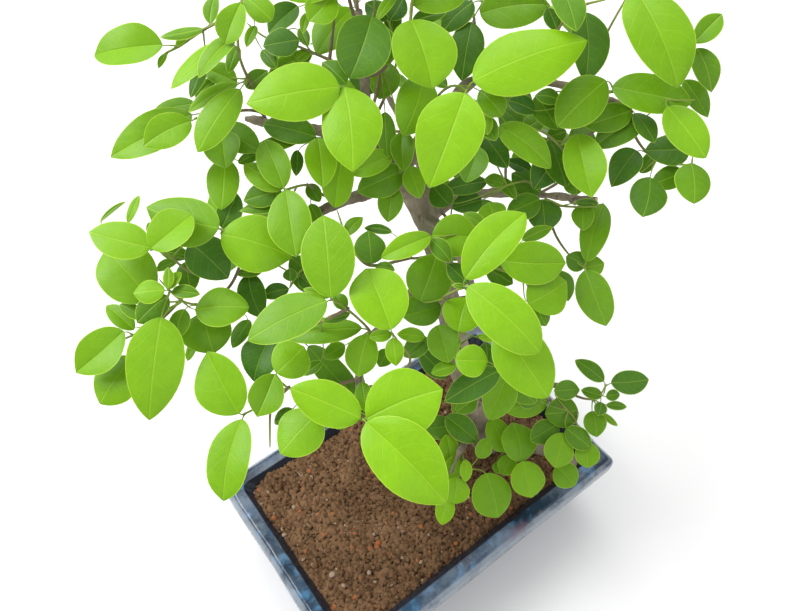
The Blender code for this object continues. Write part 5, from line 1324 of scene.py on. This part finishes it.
def stalks(blades):
    """Stalks as cubic curves: out of the twig, over to the foot, and on below the blade's rib."""
    joint, foot, tip, normal = (np.array([getattr(each, key) for each in blades])
                                for key in ("joint", "foot", "tip", "normal"))
    axis = (tip - foot) / lengths(tip - foot)
    run = lengths(foot - joint)
    reach = np.minimum(0.45 * run, 0.004)
    end = foot + 0.0016 * axis - 0.00018 * normal
    knots = [joint, joint + (foot - joint) * 0.35, end - axis * (reach + 0.0012), end]
    s = np.linspace(0, 1, 5)[None, :, None]
    a, b, c, d = (each[:, None] for each in knots)
    paths = (1 - s)**3 * a + 3 * s * (1 - s)**2 * b + 3 * s**2 * (1 - s) * c + s**3 * d
    radii = (0.00058 - 0.00024 * s[..., 0]) * (0.70 + 6 * lengths(tip - foot)) + 0.0003 * (1 - s[..., 0])**6
    rings = round_rings(paths, radii, 5)
    return bare(rings, 0.10, paths[:, 0], paths[:, -1] + 0.0001 * axis)


def twigs(stems, blades):
    """Twigs as round tubes, thicker by a bell curve at each joint, and tapered to a pointed bud. The foot
    runs on a little way into the limb."""
    count = 16
    paths = np.array([even_path(path, count) for path in stems])
    back = paths[:, :1] - paths[:, 1:2]
    paths = np.concatenate([paths[:, :1] + 0.0012 * back / lengths(back), paths[:, 1:]], axis=1)
    run = np.linspace(0, 1, count)[None]
    radii = (1.05 - 0.55 * run) * TWIG_RADIUS * np.ones((len(stems), 1))
    joints_here = np.array([each.joint for each in blades])
    near = lengths(paths[:, :, None] - joints_here[None, None])[..., 0].min(axis=2)
    radii = radii * (1 + 0.32 * np.exp(-(near / 0.0011)**2))
    radii[:, -1] *= 0.75
    rings = round_rings(paths, radii, 6)
    end = paths[:, -1] + 0.0012 * (paths[:, -1] - paths[:, -2]) / lengths(paths[:, -1] - paths[:, -2])
    shade = (1.0 - 0.75 * run)[:, :, None] + np.zeros((len(stems), 1, 1))
    return bare(rings, shade, paths[:, 0], end)


# %% Dress every shoot
made_shoots = {}
for number, name in enumerate(shoot_stems):
    draw = np.random.default_rng(100 + number)
    blades = shoot_blades[name]
    parts = [blade_rings(blades, draw), stalks(blades), twigs(shoot_stems[name], blades)]
    made_shoots[name] = piece(name + "_leaves", parts, [LEAF, TWIG])
    rounding = made_shoots[name].modifiers.new("rounding", "SUBSURF")
    rounding.levels = rounding.render_levels = 1
    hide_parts(name)
print("shoots:", len(made_shoots), "faces:", sum(len(each.data.polygons) for each in made_shoots.values()))

# %% [markdown]
# ## Trunk and branches
# The trunk is one piece of wood that swells where a branch leaves it. Round tubes make its limbs, a voxel
# remesh melts them into one skin with soft collars, and then the bark's dents and folds are pushed in as
# arrays. The bark is smooth and grey-brown with faint streaks along it and paler patches.

# %% Bark finish
bark = Finish("bark", IOR=1.3)
lengthwise = bark.stretched((1, 1, 0.30))
fibre = bark.noise(520, 4, lengthwise, 0.6)
patch = bark.noise(60, 4, rough=0.6)
brown = bark.mix((0.135, 0.105, 0.072), (0.400, 0.340, 0.262), (fibre * 0.8 + patch * 1.5 - 0.75).high(0.0).low(1.0))
brown = bark.mix(brown, (0.190, 0.215, 0.105), bark.noise(34, 3).step(0.56, 0.72) * 0.45)
brown = bark.mix(brown, (0.075, 0.055, 0.038), bark.noise(300, 3, lengthwise).step(0.64, 0.74) * 0.7)
BARK = bark.feed(fibre * 0.7 + patch, 0.0005, Base_Color=brown, Roughness=fibre * 0.2 + 0.70)

sawn = Finish("sawn_wood", IOR=1.3)
rings_seen = sawn.noise(260, 3) * 0.8 + sawn.noise(1400, 2) * 0.3
pale = sawn.mix((0.480, 0.360, 0.240), (0.780, 0.660, 0.490), rings_seen)
SAWN = sawn.feed(rings_seen, 0.0003, Base_Color=pale, Roughness=rings_seen * 0.1 + 0.75)

# %% The wood as one skin
WOOD_RINGS, WOOD_AROUND, WOOD_VOXEL = 90, 24, 0.0007


def limb_rings(name):
    """Rings round a limb's smooth path. The radius shrinks with the way along it to the power 0.8, and the
    trunk's foot spreads by a bell curve of the height."""
    points, start, end = LIMBS[name]
    path = even_path(np.array(points), WOOD_RINGS)
    share = np.linspace(0, 1, WOOD_RINGS)
    radii = start + (end - start) * share**0.8
    if name == "trunk":
        path = np.vstack([[(path[0, 0], path[0, 1], TRUNK_FOOT_Z)], path])
        radii = np.concatenate([[TRUNK_FOOT_RADIUS], radii])
        radii = radii + 0.0035 * np.exp(-((path[:, 2] - 0.050) / 0.010)**2) * (path[:, 2] > 0.045)
        radii[:2] = TRUNK_FOOT_RADIUS
    return round_rings(path[None], radii[None], WOOD_AROUND), path


wood_parts = []
for name in LIMBS:
    rings, path = limb_rings(name)
    wood_parts.append((*skins(rings, path[:1], path[-1:]), 0, {}))
wood = piece("trunk_wood", wood_parts, [BARK])
melt = wood.modifiers.new("melt", "REMESH")
melt.mode, melt.voxel_size = "VOXEL", WOOD_VOXEL
soften = wood.modifiers.new("soften", "SMOOTH")
soften.iterations = 6
melted = bpy.data.meshes.new_from_object(wood.evaluated_get(bpy.context.evaluated_depsgraph_get()))
wood.modifiers.clear()
wood.data = melted
melted.materials.clear()
melted.materials.append(BARK)
spots, ways = np.empty(len(melted.vertices) * 3, np.float32), np.empty(len(melted.vertices) * 3, np.float32)
melted.vertices.foreach_get("co", spots)
melted.vertices.foreach_get("normal", ways)
spots, ways = spots.reshape(-1, 3), ways.reshape(-1, 3)
stretch = spots * (1, 1, 0.35)
swell = 0.00045 * ripple(spots, 0.016, 3) + 0.00014 * ripple(stretch, 0.0050, 4)
melted.vertices.foreach_set("co", (spots + ways * swell[:, None]).astype(np.float32).ravel())
melted.shade_smooth()
melted.update()
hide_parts("trunk")
print("wood:", len(melted.polygons), "faces,", box_size(wood), "mm")

# %% [markdown]
# ## Stubs and sawn ends
# Where a branch was cut the wood is pale and flat. Each stub is a short tube from the wood it grew on to
# the cut. The cut is a thin disc that stands just proud of the stub's end, slightly domed and with an
# uneven rim.

# %% Discs on the cut ends
def sawn_disc(centre, way, radius):
    """A disc: rings shrink from the stub's radius over a rounded rim to a slightly domed face."""
    heights = np.array([-0.0012, 0.0001, 0.00035, 0.0005, 0.00055])
    shrink = np.array([0.90, 1.02, 0.97, 0.75, 0.35])
    path = centre + heights[:, None] * way
    side = np.cross(way, (0.3, 0.2, 0.9))
    side /= np.linalg.norm(side)
    turn = np.linspace(0, 2 * np.pi, 28, endpoint=False)
    uneven = 1 + 0.05 * np.sin(3 * turn + centre[0] * 900) + 0.03 * np.sin(7 * turn)
    spread = (np.cos(turn)[:, None] * side + np.sin(turn)[:, None] * np.cross(way, side)) * uneven[:, None]
    rings = (path[:, None] + radius * shrink[:, None, None] * spread)[None]
    return (*skins(rings, path[:1], path[-1:] + 0.00003 * way), 1, {})


def stub(name, foot, end, radius):
    """A short tube that tapers by a tenth from the foot to the end, with a disc on the end."""
    foot, end = np.array(foot), np.array(end)
    way = (end - foot) / np.linalg.norm(end - foot)
    share = np.linspace(0, 1, 8)[:, None]
    bow = 0.0006 * np.sin(np.pi * share) * np.cross(way, SKY)
    path = foot + share * (end - foot) + bow
    radii = radius * (1.15 - 0.15 * share[:, 0])
    rings = round_rings(path[None], radii[None], 18)
    made = piece(name, [(*skins(rings, path[:1], path[-1:]), 0, {}), sawn_disc(end, way, radius)], [BARK, SAWN])


CUTS = {"branch_cut": "right", "left_cut": "left", "root_cut": "root_stub"}
for name, limb in CUTS.items():
    points, _, radius = LIMBS[limb]
    tail = np.array(points[-1])
    way = unit(tail - np.array(points[-2]))
    stub(name, tail - 0.003 * way, tail + 0.0015 * way, 1.2 * radius)
stub("branch_nub", (0.0956, 0.0153, 0.2190), sight(575, 203, 0.340), 0.0011)
print("sawn ends:", len(CUTS) + 1)

# %% [markdown]
# ## The glazed pot
# The pot was pressed in one piece: tapered walls, a thick band below a lip, and soft corners. Its outline
# is a rectangle with round corners whose size and corner radius change with height, so one function of the
# way round and the way up gives all of it, down to the floor inside. The glaze breaks to grey and bright
# blue along the edges. The wall inside is painted nearly black as painted shade, and a pale grey on the
# outer band is a painted reflection of the white room.

# %% Glaze finish
glaze = Finish("glaze", IOR=1.5, Coat_Roughness=0.08)
cloud = glaze.noise(26, 4, rough=0.6)
run_down = glaze.noise(90, 4, glaze.stretched((1, 1, 0.18)))
grey = glaze.noise(60, 5, rough=0.68)
band, lip, inner = (glaze.attribute(name) for name in ("band", "lip", "inner"))
blue = glaze.mix((0.008, 0.020, 0.042), (0.024, 0.062, 0.125), cloud.step(0.35, 0.70))
streaks = (run_down * 0.5 + glaze.noise(130, 4, rough=0.65) * 0.7).step(0.60, 0.74)
blue = glaze.mix(blue, (0.066, 0.200, 0.370), streaks * (lip * 0.60 + 0.18))
blue = glaze.mix(blue, (0.190, 0.235, 0.290), lip * grey.step(0.44, 0.66) * 0.45)
# painted reflection: a pale grey on the outer band stands in for the white room mirrored in the glaze
blue = glaze.mix(blue, (0.330, 0.375, 0.420), band * grey.step(0.26, 0.58) * 0.75)
blue = glaze.mix(blue, (0.170, 0.085, 0.120), lip * glaze.noise(19, 2).step(0.62, 0.70) * 0.55)
# painted shade: the wall inside is darkened nearly to black
blue = glaze.mix(blue, (0.012, 0.016, 0.024), inner * 0.85)
GLAZE = glaze.feed(cloud * 0.8 + run_down * 0.4, 0.0006, Base_Color=blue, Roughness=grey * 0.22 + 0.12)

# %% The pot as one skin
CORNER, LONG_SIDE, SHORT_SIDE = 14, 60, 40


def pot_outline(inset, radius, extra=0.0):
    """Rings of a rectangle with round corners, one for each inset and radius. A quarter circle at each
    corner, joined by even steps along the straight sides. Returns x and y, (ring, around)."""
    half_x, half_y = POT_LENGTH / 2 - inset - extra, POT_WIDTH / 2 - inset - extra
    radius = np.maximum(radius - extra, 0.0005)
    turn = np.linspace(0, np.pi / 2, CORNER + 1)[None]
    arcs = []
    for quarter, (sx, sy) in enumerate([(1, 1), (-1, 1), (-1, -1), (1, -1)]):
        angle = turn + quarter * np.pi / 2
        arcs.append((sx * (half_x - radius)[:, None] + radius[:, None] * np.cos(angle),
                     sy * (half_y - radius)[:, None] + radius[:, None] * np.sin(angle)))
    runs_x, runs_y = [], []
    for quarter in range(4):
        steps = LONG_SIDE if quarter % 2 == 0 else SHORT_SIDE
        share = (np.arange(1, steps) / steps)[None]
        (ax, ay), (bx, by) = arcs[quarter], arcs[(quarter + 1) % 4]
        runs_x += [ax, ax[:, -1:] + share * (bx[:, :1] - ax[:, -1:])]
        runs_y += [ay, ay[:, -1:] + share * (by[:, :1] - ay[:, -1:])]
    return np.concatenate(runs_x, axis=1), np.concatenate(runs_y, axis=1)


def between(values, start, end, soft):
    """1 from start to end and 0 outside, with soft steps."""
    rise, fall = (values - start) / soft, (end - values) / soft
    return 1 / (1 + np.exp(-4 * rise)) / (1 + np.exp(-4 * fall))


profile = smooth_path(np.array(POT_RINGS), 6) / 1000
inset, height, radius = profile.T
height = np.clip(height, 0, POT_HEIGHT)
px, py = pot_outline(inset, radius)
place = np.stack([px, py, 0 * px + height[:, None]], axis=-1)
uneven = 0.00030 * ripple(place, 0.060, 8) + 0.00012 * ripple(place, 0.016, 9)
above = np.clip(height / 0.006, 0, 1)[:, None]
wall = np.stack([px, py, np.minimum(height[:, None] + uneven * above, POT_HEIGHT + 0.0004)], axis=-1)
wall[..., :2] *= 1 + (uneven * above / 0.1)[..., None]
rings = wall[None]
outside = np.arange(len(profile)) < 6 * 9
# the outer band's mask places the painted reflection
masks = {"band": between(height, 0.0405, 0.0545, 0.0012) * outside * (inset < 0.0030),
         "lip": between(height, 0.0525, 0.0600, 0.0010) * between(inset, 0.0015, 0.0095, 0.0008),
         # the wall inside, where painted shade darkens the glaze
         "inner": (1 - outside) * between(inset, 0.0096, 0.0300, 0.0006)}
facts = {key: over_points(values[:, None], rings) for key, values in masks.items()}
bottom, floor_in = np.array([[0, 0, 0.0]]), np.array([[0, 0, POT_RINGS[-1][1] / 1000]])
pot = piece("pot_glazed", [(*skins(rings, bottom, floor_in), 0, facts)], [GLAZE])

# %% Drain holes
drills = bpy.data.collections.new("drills")
bpy.context.scene.collection.children.link(drills)
for sign in (-1, 1):
    down = np.array([(sign * DRAIN_HOLE_X, 0, z) for z in (-0.004, 0.005, 0.014)])
    corners, sides, ends = skins(round_rings(down[None], np.full((1, 3), DRAIN_HOLE_RADIUS), 40), down[:1], down[-1:])
    mesh = bpy.data.meshes.new("drill")
    mesh.from_pydata(corners.tolist(), [], sides.tolist() + ends.tolist())
    drills.objects.link(bpy.data.objects.new(f"drill_{sign + 1}", mesh))
cut = pot.modifiers.new("drain holes", "BOOLEAN")
cut.operation, cut.operand_type, cut.collection, cut.solver = "DIFFERENCE", "COLLECTION", drills, "EXACT"
drilled = bpy.data.meshes.new_from_object(pot.evaluated_get(bpy.context.evaluated_depsgraph_get()))
pot.modifiers.clear()
pot.data = drilled
for each in list(drills.objects):
    bpy.data.objects.remove(each)
bpy.data.collections.remove(drills)
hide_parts("pot")
print("pot:", len(pot.data.polygons), "faces,", box_size(pot), "mm")

# %% [markdown]
# ## Gritty soil
# The soil is a bed of crumbs from one to three millimetres. A real crumb casts a shadow, so the crumbs are
# in the mesh: on a fine grid each point takes the height of the crumb that it lies on, a dome at a random
# place of a random size. Loose crumbs lie on top as small lumps of their own. On top of that, painted shade
# darkens the low places between the crumbs.

# %% Soil finish
soil = Finish("soil", IOR=1.25)
crumb, depth = soil.attribute("crumb"), soil.attribute("depth")
grit = soil.noise(1700, 3) * 0.6 + soil.noise(420, 3) * 0.4
blotch = soil.noise(55, 4, rough=0.6)
shade = (crumb * 0.45 + grit * 0.7 + blotch * 0.8 - 0.55).high(0.0).low(1.0)
earth = soil.node("ShaderNodeValToRGB", {"stops": [(0.0, (0.060, 0.029, 0.013)), (1.0, (0.300, 0.172, 0.088))]},
                  {"Fac": shade})
earth = soil.mix(earth, (0.420, 0.120, 0.035), crumb.step(0.965, 0.980) * 0.75)
earth = soil.mix(earth, (0.460, 0.350, 0.250), crumb.step(0.035, 0.020) * 0.70)
# painted shade: the low places between crumbs are darkened nearly to black
earth = soil.mix(earth, (0.022, 0.013, 0.008), depth.step(0.42, 0.0) * 0.80)
SOIL = soil.feed(grit, 0.0006, Base_Color=earth, Roughness=grit * 0.1 + 0.86)

# %% The bed as a function of x and y
BED_LONG, BED_SHORT = 360, 230


def crumbs(x, y, size, seed):
    """Domes on a jittered grid: radius times the root of one minus the squared distance, each raised by a
    draw of its own. Returns the highest dome at each point and that crumb's number from 0 to 1."""
    top, tag = np.full(x.shape, -1.0), np.zeros(x.shape)
    cell_x, cell_y = np.floor(x / size), np.floor(y / size)
    for shift_x in (-1, 0, 1):
        for shift_y in (-1, 0, 1):
            a, b = cell_x + shift_x, cell_y + shift_y
            centre_x, centre_y = (a + scatter(a, b, seed)) * size, (b + scatter(a, b, seed + 1)) * size
            radius = size * (0.34 + 0.38 * scatter(a, b, seed + 2))
            away = ((x - centre_x)**2 + (y - centre_y)**2) / radius**2
            dome = np.where(away < 1, radius * (np.sqrt(np.maximum(1 - away, 0)) - 0.5), -size)
            dome = dome + size * 0.5 * scatter(a, b, seed + 3)
            tag = np.where(dome > top, scatter(a, b, seed + 4), tag)
            top = np.maximum(top, dome)
    return top, tag


def rounded(x, y, half_x, half_y, radius):
    """Moves the corners of a square grid onto quarter circles: in each corner square, x shrinks by the
    root of one minus half of y squared, and y in the same way."""
    over_x, over_y = np.maximum(abs(x) - half_x + radius, 0), np.maximum(abs(y) - half_y + radius, 0)
    new_x = over_x * np.sqrt(1 - over_y**2 / (2 * radius**2))
    new_y = over_y * np.sqrt(1 - over_x**2 / (2 * radius**2))
    return x - np.sign(x) * (over_x - new_x), y - np.sign(y) * (over_y - new_y)


def wall_inset(height):
    """How far the pot's inner wall stands in from the lip's outer edge at a height: a straight slope."""
    (low_in, low, _), (high_in, high, _) = POT_RINGS[LIP_LOW], POT_RINGS[LIP_INNER]
    return (low_in + (high_in - low_in) * (1000 * height - low) / (high - low)) / 1000


edge_radius = 0.0062
grid_x, grid_y = np.meshgrid(np.linspace(-1, 1, BED_LONG), np.linspace(-1, 1, BED_SHORT))
reach = wall_inset(SOIL_LEVEL + SOIL_TILT * POT_WIDTH / 2 * grid_y) - 0.0003
half_x, half_y = POT_LENGTH / 2 - reach, POT_WIDTH / 2 - reach
x, y = rounded(grid_x * half_x, grid_y * half_y, half_x, half_y, edge_radius)
coarse, coarse_tag = crumbs(x, y, 0.0023, 11)
fine, fine_tag = crumbs(x, y, 0.0013, 23)
fine = fine + 0.0001
rise = np.maximum(coarse, fine)
tag = np.where(coarse > fine, coarse_tag, fine_tag)
margin = np.minimum(half_x - abs(x), half_y - abs(y))
sink = 0.0006 * np.exp(-(margin / 0.002)**2)
z = soil_height(x, y) + 0.85 * (rise - rise.mean()) - sink + 0.0003 * ripple(np.stack([x, y, 0 * x], axis=-1), 0.008, 6)
top = np.stack([x, y, z], axis=-1)
# how high a point stands among the crumbs, from 0 in the gaps to 1 on top; the soil finish darkens the gaps by it as
# painted shade
deep = np.clip((rise - rise.mean() + 0.0009) / 0.0014, 0, 1)

index = np.arange(BED_LONG * BED_SHORT).reshape(BED_SHORT, BED_LONG)
quads = np.stack([index[:-1, :-1], index[:-1, 1:], index[1:, 1:], index[1:, :-1]], axis=-1).reshape(-1, 4)
loop = np.concatenate([index[0, :-1], index[:-1, -1], index[-1, :0:-1], index[:0:-1, 0]])
flat = top.reshape(-1, 3)
edge_x, edge_y = flat[loop, 0] / half_x.ravel()[loop], flat[loop, 1] / half_y.ravel()[loop]
rings = [flat[loop]]
for ring in (11, 12, 13):
    ring_inset, ring_height, _ = (value / 1000 for value in POT_RINGS[ring])
    rings.append(np.column_stack([edge_x * (POT_LENGTH / 2 - ring_inset - 0.0006),
                                  edge_y * (POT_WIDTH / 2 - ring_inset - 0.0006),
                                  np.full(len(loop), max(ring_height, 0.0094))]))
count = len(loop)
below = np.concatenate(rings[1:] + [[(0, 0, 0.0094)]])
spots = np.concatenate([flat, below])
first = len(flat)
ids = [loop] + [first + k * count + np.arange(count) for k in range(3)]
walls = [np.stack([np.roll(a, -1), a, b, np.roll(b, -1)], axis=-1) for a, b in zip(ids, ids[1:])]
base = np.stack([np.roll(ids[-1], -1), ids[-1], np.full(count, len(spots) - 1)], axis=-1)
facts = {"crumb": np.concatenate([tag.ravel(), np.full(len(below), 0.5)]),
         "depth": np.concatenate([deep.ravel(), np.full(len(below), 0.5)])}
bed = piece("soil_bed", [(spots, np.concatenate([quads, *walls]), base, 0, facts)], [SOIL])
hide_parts("soil")
print("soil:", len(bed.data.polygons), "faces,", box_size(bed), "mm")

# %% [markdown]
# ## Loose crumbs
# Some hundred crumbs lie loose on the bed. Each is a lump of seven by four points, squashed and turned by
# its own draws, and sunk into the bed by a third. A few larger ones, pale or dark, lie where they show.

# %% Lumps on the bed
def lumps(places, sizes, tags, seed):
    """Closed lumps: rings at four heights of a ball, each point moved in or out by a random share."""
    draw = np.random.default_rng(seed)
    count = len(places)
    lift = np.linspace(-0.8, 0.8, 4)[None, :, None]
    turn = (np.arange(7) * 2 * np.pi / 7)[None, None] + draw.uniform(0, 6, (count, 1, 1))
    rough = draw.uniform(0.78, 1.18, (count, 4, 7))
    wide = np.sqrt(1 - lift**2) * rough
    flat_by = draw.uniform(0.6, 1.0, (count, 1, 1))
    long_by = draw.uniform(0.8, 1.35, (count, 1, 1))
    shape = np.stack([wide * np.cos(turn) * long_by, wide * np.sin(turn), lift * flat_by + 0 * wide], axis=-1)
    rings = places[:, None, None] + sizes[:, None, None, None] * shape
    end = np.array([0, 0, 1.0]) * (sizes * flat_by[:, 0, 0])[:, None]
    points, quads, fans = skins(rings, places - end, places + end)
    facts = {"crumb": over_points(tags[:, None, None], rings), "depth": over_points(1.0, rings)}
    return points, quads, fans, 0, facts


def on_soil(x, y, above=0.0):
    return np.stack([x, y, soil_height(x, y) + above], axis=-1)


def soil_point(across, down):
    """Where the sight line through a point of the view meets the soil's mean level."""
    way = sight(across, down, 1.0) - EYE
    return EYE + way * (SOIL_LEVEL + 0.001 - EYE[2]) / way[2]


draw = np.random.default_rng(31)
LOOSE = 800
share_x, share_y = draw.uniform(-0.97, 0.97, (2, LOOSE))
lx, ly = share_x * half_x.min(), share_y * half_y.min()
sizes = 0.0005 + 0.0008 * draw.uniform(0, 1, LOOSE)**2
SHOWN = np.array([
    (378, 542, 1.5, 0.99), (456, 542, 1.4, 0.99), (332, 574, 1.8, 0.01), (369, 571, 1.5, 0.01),
    (284, 535, 1.4, 0.01), (524, 505, 1.6, 0.01), (300, 512, 1.2, 0.99), (421, 561, 1.1, 0.01),
])
shown = np.array([soil_point(across, down) for across, down, _, _ in SHOWN])
places = np.concatenate([on_soil(lx, ly, 0.0003 + 0.3 * sizes), on_soil(shown[:, 0], shown[:, 1], 0.0006)])
sizes = np.concatenate([sizes, SHOWN[:, 2] / 1000])
tags = np.concatenate([draw.uniform(0.05, 0.95, LOOSE), SHOWN[:, 3]])
loose = piece("soil_crumbs", [lumps(places, sizes, tags, 32)], [SOIL])
print("loose crumbs:", len(places), "faces:", len(loose.data.polygons))
